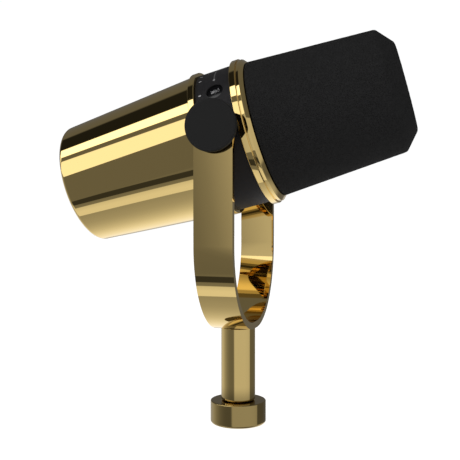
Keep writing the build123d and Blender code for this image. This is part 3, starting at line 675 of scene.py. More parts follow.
class RearPanelSizes(bpy.types.PropertyGroup):
    """The rear panel and its sockets."""

    radius: size("Panel radius", "Radius of the rear panel", 22.0)
    recess: size("Panel recess", "Depth of the panel below the housing's end", 0.8)
    thickness: size("Panel thickness", "Thickness of the rear panel", 3.2)
    audio_height: size("Audio socket height", "Middle of the audio socket above the axis", 7.0)
    audio_radius: size("Audio socket radius", "Outside radius of the audio socket's shell", 9.6)
    audio_bore: size("Audio socket bore", "Inside radius of the audio socket's shell", 8.3)
    pin_circle: size("Pin circle", "Radius of the circle the three pins stand on", 4.0)
    pin_radius: size("Pin radius", "Radius of each pin", 1.2)
    small_socket_side: size("Small socket side", "Data and headphone sockets from the middle", 9.5)
    screw_circle: size("Screw circle", "Panel screws from the axis", 18.6)


class BandSizes(bpy.types.PropertyGroup):
    """The black centre band and its touch controls."""

    radius: size("Band radius", "Radius of the centre band", 31.7)
    half_length: size("Half length", "Half of the band's length", 8.1)
    button_angle: angle("Button angle", "Button from straight up towards the right-hand side", 57.2)
    button_station: size("Button station", "Middle of the button in front of the pivot", 1.0)
    button_radius: size("Button radius", "Radius of the mute button", 3.65)
    button_crown: size("Button crown", "How far the middle of the button stands above its rim", 0.22)
    light_half_arc: angle("Light half arc", "Half of the arc of the level light", 44.5)
    light_station: size("Light station", "Middle of the level light in front of the pivot", 0.8)
    light_width: size("Light width", "Width of the level light", 0.62)


class GrilleSizes(bpy.types.PropertyGroup):
    """The front rings and the perforated basket under the foam."""

    bezel_radius: size("Bezel radius", "Radius of the front bezel ring", 33.4)
    radius: size("Grille radius", "Radius of the basket at its foot", 25.9)
    shoulder_radius: size("Shoulder radius", "Radius of the basket at its shoulder", 22.2)
    end: size("Grille end", "Station of the basket's front end", 70.2)
    wall: size("Grille wall", "Thickness of the basket", 0.9)
    hole_share: share("Hole inset", "Share of a cell that is metal, at each side of its hole", 0.2)


class WindscreenSizes(bpy.types.PropertyGroup):
    """The foam windscreen."""

    rear: size("Foam rear", "Station of the foam's rear edge", 14.2)
    rear_radius: size("Foam rear radius", "Radius of the foam at its rear edge", 30.9)
    shoulder: size("Foam shoulder", "Station of the shoulder", 70.5)
    shoulder_radius: size("Foam shoulder radius", "Radius of the foam at its shoulder", 27.0)
    front: size("Foam front", "Station of the foam's front face", 77.0)
    front_radius: size("Foam front radius", "Radius of the foam's flat front face", 19.3)
    softness: size("Foam edge softness", "Rounding of the foam's cut edges", 0.6)
    grain: size("Foam grain", "Spacing of the rows in the foam's surface", 0.95)
    roughness: size("Foam unevenness", "How far the cut cells stand up or sink in", 0.16)


class Finishes(bpy.types.PropertyGroup):
    """Colours of the surfaces that show."""

    gold: tint("Gold", "Colour of the polished plating", (0.85, 0.637, 0.258))
    gold_roughness: share("Gold roughness", "Haze of the polished plating", 0.03)
    band: tint("Band black", "Colour of the centre band", SLOT_COLOUR["black_body"])
    knob: tint("Knob black", "Colour of the clamp knobs", SLOT_COLOUR["black_knob"])
    foam: tint("Foam black", "Colour of the windscreen", (0.025, 0.025, 0.0253))
    foam_pore: size("Foam pore", "Width of the foam's cells", 0.75)
    button: tint("Button black", "Colour of the mute button", (0.006, 0.006, 0.007))
    symbol: tint("Symbol grey", "Colour of the symbol on the mute button", (0.42, 0.42, 0.43))
    light_line: tint("Light line", "Colour of the level light", (0.1, 0.1, 0.1))
    pip: tint("Indicator", "Colour of the indicator lights", (0.45, 0.45, 0.46))


class Studio(bpy.types.PropertyGroup):
    """Camera, floor and the soft lights round the object."""

    lens: bpy.props.FloatProperty(
        name="Lens",
        description="Focal length of the camera",
        default=55.6,
        min=20.0,
        max=200.0,
        unit="CAMERA",
    )
    camera_place: bpy.props.FloatVectorProperty(
        name="Camera place",
        description="Camera from the pivot",
        default=(0.0816, -0.3140, -0.03996),
        size=3,
        subtype="TRANSLATION",
        unit="LENGTH",
    )
    camera_aim: bpy.props.FloatVectorProperty(
        name="Camera aim",
        description="Direction the camera looks in",
        default=(-0.26271, 0.96486, -0.00602),
        size=3,
        subtype="DIRECTION",
    )
    brightness: bpy.props.FloatProperty(
        name="Brightness", description="Strength of all the soft lights together", default=1.0, min=0.0
    )


class MicrophoneSettings(bpy.types.PropertyGroup):
    """Everything a user may change."""

    stand: bpy.props.PointerProperty(type=StandSizes)
    yoke: bpy.props.PointerProperty(type=YokeSizes)
    knobs: bpy.props.PointerProperty(type=KnobSizes)
    housing: bpy.props.PointerProperty(type=HousingSizes)
    rear_panel: bpy.props.PointerProperty(type=RearPanelSizes)
    band: bpy.props.PointerProperty(type=BandSizes)
    grille: bpy.props.PointerProperty(type=GrilleSizes)
    windscreen: bpy.props.PointerProperty(type=WindscreenSizes)
    finishes: bpy.props.PointerProperty(type=Finishes)
    studio: bpy.props.PointerProperty(type=Studio)


class Millimetres:
    """A property group's lengths in millimetres, and its other values as they are."""

    def __init__(self, group):
        self.group = group

    def __getattr__(self, name):
        value = getattr(self.group, name)
        is_length = self.group.bl_rna.properties[name].unit == "LENGTH"
        return value / MM if is_length else value


# ---------------------------------------------------------------- stand and yoke
class MICROPHONE_OT_stand(bpy.types.Operator):
    """Make the stand nut with its thread, and the post"""

    bl_idname = "microphone.stand"
    bl_label = "Stand nut and post"

    def execute(self, context):
        s = Millimetres(context.scene.microphone.stand)
        web_base = s.nut_height - 2.0
        gap = 0.2  # between the nut and the post
        recess_radius = 6.8
        spigot_radius, bore_radius = 4.54, 4.6
        lead_in, land, groove_share = 0.6, 0.2, 0.6
        profile = [(0.0, s.socket_radius + lead_in), (lead_in, s.socket_radius)]
        station = lead_in
        while station + s.thread_pitch < s.socket_depth:
            profile.append((station + land, s.socket_radius))
            profile.append((station + s.thread_pitch * groove_share, s.socket_radius + s.thread_depth))
            profile.append((station + s.thread_pitch, s.socket_radius))
            station += s.thread_pitch
        profile += [
            (s.socket_depth, s.socket_radius), (s.socket_depth, recess_radius),
            (web_base, recess_radius), (web_base, bore_radius),
            (s.nut_height, bore_radius), (s.nut_height, s.nut_radius), (0.0, s.nut_radius),
        ]
        nut = turned(profile)
        round_ring(nut, 0.0, s.nut_radius, s.nut_edge, 6)
        round_ring(nut, s.nut_height, s.nut_radius, 0.5, 4)
        finished("stand_nut_turned", nut, "polished_gold", ["stand_nut"], UPRIGHT, "stand_nut")

        post_base, post_top = s.nut_height + gap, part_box("stand_post")[1].z / MM
        spigot_end = web_base - gap
        lower_thread_radius, lower_thread_top = 2.05, 18.0
        upper_thread_radius, upper_thread_base = 2.55, 32.0
        post = turned(
            [
                (spigot_end, lower_thread_radius), (spigot_end, spigot_radius),
                (post_base, spigot_radius), (post_base, s.post_radius),
                (post_top, s.post_radius), (post_top, upper_thread_radius),
                (upper_thread_base, upper_thread_radius), (upper_thread_base, 0.0),
                (lower_thread_top, 0.0), (lower_thread_top, lower_thread_radius),
            ]
        )
        round_ring(post, post_base, s.post_radius, s.post_edge, 5)
        round_ring(post, post_top, s.post_radius, 0.2, 2)
        finished("stand_post_turned", post, "polished_gold", ["stand_post"], UPRIGHT, "yoke")
        return {"FINISHED"}


class MICROPHONE_OT_yoke(bpy.types.Operator):
    """Make the bent strap with its round heads"""

    bl_idname = "microphone.yoke"
    bl_label = "Yoke strap"

    def execute(self, context):
        s = Millimetres(context.scene.microphone.yoke)
        half_width = s.width / 2
        straight_end = s.bend - s.drop
        bm = self.arm_outline(half_width, straight_end)
        bmesh.ops.create_circle(bm, radius=s.hole_radius, segments=96)
        outline_plate(bm, s.thickness)

        def at_foot(item):
            return all(abs(v.co.y - straight_end) < 0.001 for v in item.verts)

        bmesh.ops.delete(bm, geom=[f for f in bm.faces if at_foot(f)], context="FACES_ONLY")
        rim = [edge for edge in bm.edges if at_foot(edge)]
        bent = bmesh.ops.spin(
            bm,
            geom=rim + [v for v in bm.verts if abs(v.co.y - straight_end) < 0.001],
            cent=(0.0, straight_end, s.thickness - s.bend),
            axis=(1.0, 0.0, 0.0),
            angle=math.pi / 2,
            steps=64,
            use_merge=False,
        )
        last = [item for item in bent["geom_last"] if isinstance(item, bmesh.types.BMEdge)]
        foot = bmesh.ops.extrude_edge_only(bm, edges=last)
        bmesh.ops.translate(bm, verts=verts_of(foot["geom"]), vec=(0.0, 0.0, s.bend - s.outer_half))
        moved(bm, Matrix.Translation((0.0, 0.0, s.outer_half - s.thickness)))
        everything = bm.verts[:] + bm.edges[:] + bm.faces[:]
        bmesh.ops.mirror(bm, geom=everything, matrix=Matrix.Identity(4), merge_dist=0.01, axis="Z")
        bmesh.ops.remove_doubles(bm, verts=bm.verts[:], dist=0.001)
        bmesh.ops.recalc_face_normals(bm, faces=bm.faces[:])

        hole_radius, head_radius, head_depth, past = 2.55, 4.6, 1.7, 1.0
        head_seat = s.thickness - head_depth - s.drop
        top = s.thickness - s.drop + past
        counterbore = turned(
            [
                (-s.drop - past, 0.0), (-s.drop - past, hole_radius), (head_seat, hole_radius),
                (head_seat, head_radius), (top, head_radius), (top, 0.0),
            ],
            SMALL_TURN_STEPS,
        )
        bm = carved(bm, moved(counterbore, Matrix.Rotation(-math.pi / 2, 4, "X")))
        round_sharp(bm, s.edge, 3)
        finished("yoke_strap_bent", bm, "polished_gold", ["yoke_strap"], beside(-1), "yoke")
        return {"FINISHED"}

    def arm_outline(self, half_width, straight_end):
        """Outline of one arm, laid flat: half a circle at the pivot, and straight sides down to the bend."""
        bm = bmesh.new()
        bmesh.ops.create_circle(bm, radius=half_width, segments=128)
        bmesh.ops.bisect_plane(
            bm,
            geom=bm.verts[:] + bm.edges[:],
            plane_co=(0.0, 0.0, 0.0),
            plane_no=(0.0, -1.0, 0.0),
            clear_outer=True,
        )
        bmesh.ops.remove_doubles(bm, verts=bm.verts[:], dist=0.001)
        ends = sorted((v for v in bm.verts if abs(v.co.y) < 0.001), key=lambda v: v.co.x)
        feet = [bm.verts.new((x, straight_end, 0.0)) for x in (-half_width, half_width)]
        for pair in ((ends[0], feet[0]), (feet[0], feet[1]), (feet[1], ends[-1])):
            bm.edges.new(pair)
        return bm


class MICROPHONE_OT_knobs(bpy.types.Operator):
    """Make the clamp knobs, one on each side"""

    bl_idname = "microphone.knobs"
    bl_label = "Clamp knobs"

    def execute(self, context):
        s = Millimetres(context.scene.microphone.knobs)
        back = s.face - s.thickness
        hub_face, hub_radius = 41.4, 8.0
        screw_radius, screw_top = 3.02, 43.0
        for name, side in (("right", -1), ("left", 1)):
            knob = turned(
                [
                    (hub_face, screw_radius), (hub_face, hub_radius), (back, hub_radius),
                    (back, s.radius), (s.face, s.radius), (s.face, 0.0),
                    (screw_top, 0.0), (screw_top, screw_radius),
                ]
            )
            round_ring(knob, s.face, s.radius, s.rim, 6)
            round_ring(knob, back, s.radius, 0.5, 4)
            clamp = f"{name}_clamp_knob"
            finished(f"{clamp}_turned", knob, "black_knob", [clamp], beside(side), f"{name}_knob")
        return {"FINISHED"}


# ---------------------------------------------------------------- rear housing
class MICROPHONE_OT_housing(bpy.types.Operator):
    """Make the tapered rear housing and the ring at its front"""

    bl_idname = "microphone.housing"
    bl_label = "Rear housing"

    def execute(self, context):
        s = Millimetres(context.scene.microphone.housing)
        panel = Millimetres(context.scene.microphone.rear_panel)
        rear, front = -s.rear, -s.front
        panel_inner = rear + panel.recess + panel.thickness
        shoulder, shoulder_bore = panel_inner + 2.0, 20.2
        slope = (s.front_radius - s.rear_radius) / (front - rear)
        inside = s.rear_radius + slope * (shoulder - rear) - s.wall
        mouth = panel.radius + 0.1
        shell = turned(
            [
                (rear, mouth), (rear, s.rear_radius), (front, s.front_radius),
                (front, s.front_radius - s.wall), (shoulder, inside), (shoulder, shoulder_bore),
                (panel_inner, shoulder_bore), (panel_inner, mouth),
            ],
            BROAD_TURN_STEPS,
        )
        round_ring(shell, rear, s.rear_radius, s.corner, 8)
        round_ring(shell, rear, mouth, 0.3, 3)
        lug_length, lug_radius, screw_bore = 6.0, 3.0, 1.25
        lugs = [
            moved(rod(panel_inner, panel_inner + lug_length, lug_radius, 24, screw_bore), place)
            for place in screw_places(panel.screw_circle)
        ]
        finished("rear_housing_shell", gathered(shell, *lugs), "polished_gold", ["rear_housing"])

        half = context.scene.microphone.band.half_length / MM
        ring_bore, lathe_edge = 29.6, 30.0
        ring = rod(front, -half, s.ring_radius, BROAD_TURN_STEPS, ring_bore)
        round_sharp(ring, s.ring_edge, 3, lambda edge: edge.verts[0].co.xy.length > lathe_edge)
        finished("rear_ring_turned", ring, "polished_gold", ["rear_bezel_ring"])
        return {"FINISHED"}


class MICROPHONE_OT_rear_panel(bpy.types.Operator):
    """Make the rear panel with its audio, data and headphone sockets"""

    bl_idname = "microphone.rear_panel"
    bl_label = "Rear panel and sockets"

    def execute(self, context):
        s = Millimetres(context.scene.microphone.rear_panel)
        outer = s.recess - context.scene.microphone.housing.rear / MM
        inner = outer + s.thickness
        data_height = -11.0
        phones_height = data_height - 1.63 + 3.0  # both sockets stand on the board's top face
        audio = Matrix.Translation((s.audio_height, 0.0, 0.0))
        phones = Matrix.Translation((phones_height, -s.small_socket_side, 0.0))
        data = Matrix.Translation((data_height, s.small_socket_side, 0.0))
        data @= Matrix.Rotation(math.pi / 2, 4, "Z")
        self.plate(s, outer, inner, audio, phones, data)
        self.audio_socket(s, outer, inner, BODY_SPACE @ audio)
        self.data_port(outer, BODY_SPACE @ data)
        self.headphone_jack(outer, inner, BODY_SPACE @ phones)
        return {"FINISHED"}

    def plate(self, s, outer, inner, audio, phones, data):
        """Round plate with a hole for each socket and a sunk hole for each screw."""
        past = 1.0
        below, above = outer - past, inner + past
        plate = rod(outer, inner, s.radius, 128)
        round_ring(plate, outer, s.radius, 0.4, 3)
        slot = pill(9.04, 3.36, s.thickness + 2 * past)
        cutters = [
            moved(rod(below, above, s.audio_radius + 0.05), audio),
            moved(rod(below, above, 2.95), phones),
            moved(slot, data @ Matrix.Translation((0, 0, below))),
        ]
        head_radius, head_seat, screw_radius = 2.2, outer + 1.2, 1.25
        for place in screw_places(s.screw_circle):
            screw_hole = turned(
                [
                    (below, 0.0), (below, head_radius), (head_seat, head_radius),
                    (head_seat, screw_radius), (above, screw_radius), (above, 0.0),
                ],
                32,
            )
            cutters.append(moved(screw_hole, place))
        plate = carved(plate, *cutters)
        round_sharp(plate, 0.15, 2, lambda edge: all(abs(v.co.z - outer) < 0.01 for v in edge.verts))
        finished("rear_panel_plate", plate, "panel_black", ["rear_panel"])

    def audio_socket(self, s, outer, inner, place):
        """Barrel with its key, and the insulator with the three pins."""
        shell_end = -60.0
        lip, lead_in = 0.5, 0.6
        collar_radius, collar_end = s.audio_radius + 1.2, inner + 1.0
        barrel = turned(
            [
                (outer, s.audio_bore + lip), (outer, s.audio_radius), (inner, s.audio_radius),
                (inner, collar_radius), (collar_end, collar_radius), (collar_end, s.audio_radius),
                (shell_end, s.audio_radius), (shell_end, s.audio_bore), (outer + lead_in, s.audio_bore),
            ],
            96,
        )
        round_ring(barrel, outer, s.audio_radius, 0.2, 2)
        key_place = Matrix.Translation((s.audio_bore - 0.3, 0.0, outer + 1.6))
        barrel = gathered(barrel, moved(block(0.8, 2.2, 9.0, 0.2), key_place))
        finished("audio_socket_barrel", barrel, "socket_chrome", ["audio_socket_shell"], place)

        face, step = shell_end - 4.0, 0.5
        face_radius, core_radius = s.audio_bore - 0.7, s.audio_bore - 0.05
        core = turned(
            [
                (face, 0.0), (face, face_radius), (face + step, face_radius),
                (face + step, core_radius), (shell_end, core_radius), (shell_end, 0.0),
            ],
            96,
        )
        tip, tail = -73.5, -58.5
        well_mouth, well_radius = 1.65, 1.25
        wells, pins = [], []
        for turn in (180, 300, 420):
            spot = Matrix.Rotation(math.radians(turn), 4, "Z") @ Matrix.Translation((s.pin_circle, 0.0, 0.0))
            well = turned(
                [
                    (face - 1.0, 0.0), (face - 1.0, well_mouth), (face + 0.4, well_radius),
                    (shell_end + 1.0, well_radius), (shell_end + 1.0, 0.0),
                ],
                32,
            )
            wells.append(moved(well, spot))
            pin = rod(tip, tail, s.pin_radius, 40)
            round_ring(pin, tip, s.pin_radius, 0.8, 5)
            pins.append(moved(pin, spot))
        core = carved(core, *wells)
        finished("audio_socket_core", core, "insulator_black", ["audio_socket_insulator"], place)
        finished("audio_socket_contacts", gathered(*pins), "contact_gold", ["audio_socket_pins"], place)

    def data_port(self, outer, place):
        """Drawn can with a tongue that carries contact pads on both faces."""
        width, height, wall, length = 8.94, 3.26, 0.3, 7.2
        hollow = pill(width - 2 * wall, height - 2 * wall, length, 14)
        can = carved(
            moved(pill(width, height, length, 14), Matrix.Translation((0, 0, outer + 0.1))),
            moved(hollow, Matrix.Translation((0, 0, outer - 0.9))),
        )
        round_sharp(can, 0.08)
        finished("data_port_can", can, "port_steel", ["data_port_shell"], place)
        tongue = moved(block(6.7, 0.7, 5.7, 0.12), Matrix.Translation((0, 0, outer + 0.6)))
        finished("data_port_blade", tongue, "insulator_black", ["data_port_tongue"], place)
        columns, pitch, off_middle = 12, 0.5, 0.355
        pads = []
        for column in range(columns):
            for face_side in (-1, 1):
                spot = ((column - (columns - 1) / 2) * pitch, face_side * off_middle, outer + 1.1)
                pads.append(moved(block(0.24, 0.04, 4.2), Matrix.Translation(spot)))
        finished("data_port_pads", gathered(*pads), "contact_gold", place=place)

    def headphone_jack(self, outer, inner, place):
        """Collar with its bore, in a moulded body behind the panel."""
        nose_radius, body_bore, tube_radius, bore = 2.9, 2.75, 2.7, 1.8
        end = outer + 12.6
        collar = turned(
            [
                (outer, 2.1), (outer, nose_radius), (inner, nose_radius), (inner, tube_radius),
                (end, tube_radius), (end, 0.0), (end - 0.6, 0.0), (end - 0.6, bore), (outer + 0.4, bore),
            ],
            48,
        )
        round_ring(collar, outer, nose_radius, 0.15, 2)
        body = carved(
            moved(block(6.0, 6.4, 12.0, 0.3), Matrix.Translation((0, 0, inner))),
            rod(inner - 1.0, end + 0.1, body_bore, 48),
        )
        finished("headphone_jack", gathered(collar, body), "insulator_black", ["headphone_socket"], place)


# ---------------------------------------------------------------- centre band and controls
class MICROPHONE_OT_control_band(bpy.types.Operator):
    """Make the black centre band, the mute button and the lights"""

    bl_idname = "microphone.control_band"
    bl_label = "Centre band and controls"

    def execute(self, context):
        s = Millimetres(context.scene.microphone.band)
        # Each control is sunk in the band, and its seat is a radius.
        button_seat, pip_seat, light_seat = s.radius - 0.95, s.radius - 0.55, s.radius - 0.6
        pip_station = -5.8
        button_place = on_skin(s.button_angle, button_seat, s.button_station)
        pip_angles = (29.0, 38.8, 57.5)
        pip_places = [on_skin(math.radians(turn), pip_seat, pip_station) for turn in pip_angles]
        round_about = 0.1  # clearance round the button, the lights and the pips
        cutters = [moved(rod(0.0, 3.0, s.button_radius + round_about, 96), button_place)]
        cutters += [moved(pill(1.4, 0.9, 2.0), place) for place in pip_places]
        cutters.append(
            self.arc_strip(
                s.light_station, s.light_width + round_about, light_seat, light_seat + 1.5,
                s.light_half_arc + 0.002,
            )
        )
        finished("centre_band_shell", self.shell(s, cutters), "black_body", ["centre_band"])
        self.mute_button(context, s, BODY_SPACE @ button_place)

        light = self.arc_strip(
            s.light_station, s.light_width, light_seat, light_seat + 0.55, s.light_half_arc
        )
        finished("level_light", light, "light_guide", ["light_bar"])
        spot = on_skin(s.light_half_arc - 0.02, light_seat + 0.5, s.light_station)
        finished("level_light_end", pill(1.1, 0.8, 0.1, 12), "pip_clear", place=BODY_SPACE @ spot)
        pips = []
        for place in pip_places:
            pip = pill(1.3, 0.8, 0.5)
            round_sharp(pip, 0.1, 2, lambda edge: all(v.co.z > 0.4 for v in edge.verts))
            pips.append(moved(pip, place))
        finished("indicator_lenses", gathered(*pips), "pip_clear", ["indicator_lights"])
        return {"FINISHED"}

    def shell(self, s, cutters):
        """The band with its spigots, its inner web and the two pivot bosses."""
        half, rear_end, bore = s.half_length, -16.0, 27.2
        rear_spigot, front_spigot, front_bore = 29.5, 29.2, 28.2
        web_rear, web_front, web_bore = -14.0, -12.0, 13.0
        band = turned(
            [
                (rear_end, bore), (rear_end, rear_spigot), (-half, rear_spigot), (-half, s.radius),
                (half, s.radius), (half, front_spigot), (BEZEL_FRONT, front_spigot),
                (BEZEL_FRONT, front_bore), (BEZEL_FRONT - 2.0, front_bore), (BEZEL_FRONT - 2.0, bore),
                (web_front, bore), (web_front, web_bore), (web_rear, web_bore), (web_rear, bore),
            ],
            BROAD_TURN_STEPS,
        )
        round_ring(band, -half, s.radius, 0.3, 3)
        round_ring(band, half, s.radius, 0.3, 3)
        root, face, boss_radius, boss_bore, past = 25.5, 37.0, 8.0, 5.05, 1.0
        bosses, bores = [], []
        for turn in (-math.pi / 2, math.pi / 2):
            sideways = Matrix.Rotation(turn, 4, "X")
            boss = rod(root, face, boss_radius, 96)
            round_ring(boss, face, boss_radius, 0.3, 3)
            bosses.append(moved(boss, sideways))
            bores.append(moved(rod(root - 1.5, face + past, boss_bore), sideways))
        band = carved(band, *bosses, operation="UNION")
        return carved(band, *bores, *cutters)

    def mute_button(self, context, s, place):
        """Slightly crowned button with its symbol."""
        button_top, crown_steps = 0.5, 12
        profile = [(0.0, 0.0), (0.0, s.button_radius)]
        for step in range(crown_steps + 1):
            out = 1 - step / crown_steps
            profile.append((button_top - s.button_crown * out * out, s.button_radius * out))
        button = turned(profile, 96)
        round_ring(button, button_top - s.button_crown, s.button_radius, 0.1, 3)
        finished("mute_button_crown", button, "button_black", ["mute_button"], place)
        lift = Matrix.Translation((0.0, 0.0, button_top - 0.05))
        tilt = Matrix.Rotation(math.radians(200), 4, "Z")
        piece = finished(
            "mute_symbol", self.symbol(), "light_guide", place=place @ lift @ tilt, even=False
        )
        piece.data.materials[0] = self.symbol_finish(context)

    def arc_strip(self, station, width, inner, outer, half_arc):
        """Closed strip round the microphone's axis, from one side of straight up to the other."""
        bm = bmesh.new()
        low, high = station - width / 2, station + width / 2
        corners = [bm.verts.new(spot) for spot in
                   ((inner, 0, low), (outer, 0, low), (outer, 0, high), (inner, 0, high))]
        for first, second in zip(corners, corners[1:] + corners[:1]):
            bm.edges.new((first, second))
        moved(bm, Matrix.Rotation(-half_arc, 4, "Z"))
        bmesh.ops.spin(
            bm,
            geom=bm.verts[:] + bm.edges[:],
            cent=(0.0, 0.0, 0.0),
            axis=(0.0, 0.0, 1.0),
            angle=2 * half_arc,
            steps=96,
            use_merge=False,
        )
        bmesh.ops.holes_fill(bm, edges=bm.edges[:], sides=4)
        bmesh.ops.recalc_face_normals(bm, faces=bm.faces[:])
        return bm

    def symbol(self):
        """Plain crossed-out microphone sign, lying along local x."""
        depth = 0.08
        head = moved(pill(1.9, 0.95, depth, 12), Matrix.Translation((-1.0, 0.0, 0.0)))
        cradle = rod(0.0, depth, 1.1, 48, bore=0.9)
        bmesh.ops.bisect_plane(
            cradle,
            geom=cradle.verts[:] + cradle.edges[:] + cradle.faces[:],
            plane_co=(0.0, 0.0, 0.0),
            plane_no=(-1.0, 0.0, 0.0),
            clear_outer=True,
        )
        bmesh.ops.holes_fill(cradle, edges=cradle.edges[:], sides=4)
        moved(cradle, Matrix.Translation((-0.35, 0.0, 0.0)))
        stem = moved(block(1.1, 0.24, depth), Matrix.Translation((1.25, 0.0, 0.0)))
        foot = moved(block(0.26, 1.7, depth), Matrix.Translation((1.9, 0.0, 0.0)))
        slash = moved(block(4.0, 0.24, depth * 1.3), Matrix.Rotation(math.radians(-38), 4, "Z"))
        return gathered(head, cradle, stem, foot, slash)

    def symbol_finish(self, context):
        """Pale print of the symbol."""
        material, shading = new_finish("symbol_grey")
        look = context.scene.microphone.finishes
        fine = shading.noise(0.3)
        tone = shading.between(fine, opaque(look.symbol, 0.85), opaque(look.symbol, 1.1))
        surface(shading, {"Base Color": tone, "Roughness": 0.4})
        return material


# ---------------------------------------------------------------- front rings, grille and foam
class MICROPHONE_OT_front_rings(bpy.types.Operator):
    """Make the front bezel ring and the grille's base ring"""

    bl_idname = "microphone.front_rings"
    bl_label = "Front rings"

    def execute(self, context):
        s = Millimetres(context.scene.microphone.grille)
        half = context.scene.microphone.band.half_length / MM
        outer = s.bezel_radius
        bezel = rod(half, BEZEL_FRONT, outer, BROAD_TURN_STEPS, bore=29.3)
        round_ring(bezel, half, outer, 0.25, 3)
        round_ring(bezel, BEZEL_FRONT, outer, 0.1, 2)
        finished("front_bezel_turned", bezel, "polished_gold", ["front_bezel_ring"])
        flange, flange_end = outer - 0.6, 12.3
        groove_floor, groove_end = flange - 0.3, 11.15
        nose, bore = 31.0, s.radius + 0.05
        base = turned(
            [
                (BEZEL_FRONT, bore), (BEZEL_FRONT, groove_floor), (groove_end, groove_floor),
                (groove_end, flange), (flange_end, flange), (BASE_FRONT, nose), (BASE_FRONT, bore),
            ],
            BROAD_TURN_STEPS,
        )
        round_ring(base, groove_end, flange, 0.1, 2)
        round_ring(base, flange_end, flange, 0.12, 3)
        round_ring(base, BASE_FRONT, nose, 0.3, 3)
        finished("grille_ring_turned", base, "polished_gold", ["grille_base_ring"])
        return {"FINISHED"}


class MICROPHONE_OT_grille(bpy.types.Operator):
    """Make the perforated basket that the foam slides over"""

    bl_idname = "microphone.grille"
    bl_label = "Grille basket"

    def execute(self, context):
        s = Millimetres(context.scene.microphone.grille)
        columns, rows, rings = 72, 25, 8
        first_hole, last_hole, shoulder = 15.4, 66.2, 67.0
        end_radius, ring_width = 19.2, 1.9
        taper = (s.shoulder_radius - s.radius) / (shoulder - BASE_FRONT)
        stations = [BEZEL_FRONT, BASE_FRONT, first_hole]
        stations += [first_hole + (last_hole - first_hole) * row / rows for row in range(1, rows + 1)]
        wire = [(station, s.radius + taper * max(0.0, station - BASE_FRONT)) for station in stations]
        wire += [(shoulder, s.shoulder_radius)]
        wire += [(s.end, end_radius - ring_width * ring) for ring in range(rings + 1)] + [(s.end, 0.0)]
        bm = bmesh.new()
        points = [bm.verts.new((out, 0.0, along)) for along, out in wire]
        for first, second in zip(points, points[1:]):
            bm.edges.new((first, second))
        bmesh.ops.spin(
            bm,
            geom=bm.verts[:] + bm.edges[:],
            cent=(0.0, 0.0, 0.0),
            axis=(0.0, 0.0, 1.0),
            angle=math.tau,
            steps=columns,
            use_merge=True,
        )
        bmesh.ops.remove_doubles(bm, verts=bm.verts[:], dist=ON_AXIS)
        bmesh.ops.recalc_face_normals(bm, faces=bm.faces[:])
        side_face = next(f for f in bm.faces if 30.0 < f.calc_center_median().z < 40.0)
        if side_face.normal.xy.dot(side_face.calc_center_median().xy) < 0:
            bmesh.ops.reverse_faces(bm, faces=bm.faces[:])

        def open_cell(face):
            middle = face.calc_center_median()
            on_side = first_hole < middle.z < last_hole
            on_end = middle.z > s.end - 0.1 and 8.0 < middle.xy.length < 18.5  # blank middle and rim
            return len(face.verts) == 4 and (on_side or on_end)

        cells = [face for face in bm.faces if open_cell(face)]
        bmesh.ops.inset_individual(
            bm, faces=cells, thickness=s.hole_share, use_even_offset=True, use_relative_offset=True
        )
        bmesh.ops.delete(bm, geom=cells, context="FACES")
        piece = finished("grille_basket_mesh", bm, "grille_steel", ["grille_basket"], even=False)
        wall = piece.modifiers.new("wall", "SOLIDIFY")
        wall.thickness = s.wall * MM
        wall.offset = -1.0
        wall.use_even_offset = False
        return {"FINISHED"}


class MICROPHONE_OT_windscreen(bpy.types.Operator):
    """Make the foam windscreen"""

    bl_idname = "microphone.windscreen"
    bl_label = "Foam windscreen"

    def execute(self, context):
        s = Millimetres(context.scene.microphone.windscreen)
        grille = Millimetres(context.scene.microphone.grille)
        gap = 0.4  # between the foam and the basket
        hollow_end, hollow_radius, hollow_shoulder = grille.end + gap, 19.4, 67.2
        bm = turned(
            [
                (s.rear, grille.radius + gap), (s.rear, s.rear_radius), (s.shoulder, s.shoulder_radius),
                (s.front, s.front_radius), (s.front, 0.0), (hollow_end, 0.0),
                (hollow_end, hollow_radius), (hollow_shoulder, grille.shoulder_radius + gap),
            ],
            208,
        )
        round_ring(bm, s.shoulder, s.shoulder_radius, s.softness * 1.6, 5)
        round_ring(bm, s.front, s.front_radius, s.softness * 1.6, 5)
        round_ring(bm, s.rear, s.rear_radius, s.softness * 0.5, 3)
        outside = grille.radius + 0.5

        def is_long(edge):
            first, second = edge.verts
            drop = abs(first.co.xy.length - second.co.xy.length) + abs(first.co.z - second.co.z)
            return drop > 2 * s.grain and self.faces_out(edge, outside, s.front - 0.5)

        lengthways = [edge for edge in bm.edges if is_long(edge)]
        for edges in self.by_length(lengthways):
            cuts = int(edges[0].calc_length() / s.grain)
            bmesh.ops.subdivide_edges(bm, edges=edges, cuts=cuts, use_grid_fill=True)
        piece = finished("windscreen_foam", bm, "foam", ["windscreen"], body="windscreen", even=False)
        cells = bpy.data.textures.new("foam cells", "CLOUDS")
        cells.noise_scale = 1.1 * MM
        cells.noise_depth = 2
        lumps = piece.modifiers.new("cut cells", "DISPLACE")
        lumps.texture = cells
        lumps.texture_coords = "LOCAL"
        lumps.mid_level = 0.5
        lumps.strength = s.roughness * MM
        return {"FINISHED"}

    def faces_out(self, edge, outside, front):
        """True for an edge on the outer skin or the front face."""
        return all(v.co.xy.length > outside - v.co.z * 0.06 or v.co.z > front for v in edge.verts)

    def by_length(self, edges):
        """Edges in groups of one length."""
        groups = {}
        for edge in edges:
            groups.setdefault(round(edge.calc_length(), 1), []).append(edge)
        return list(groups.values())


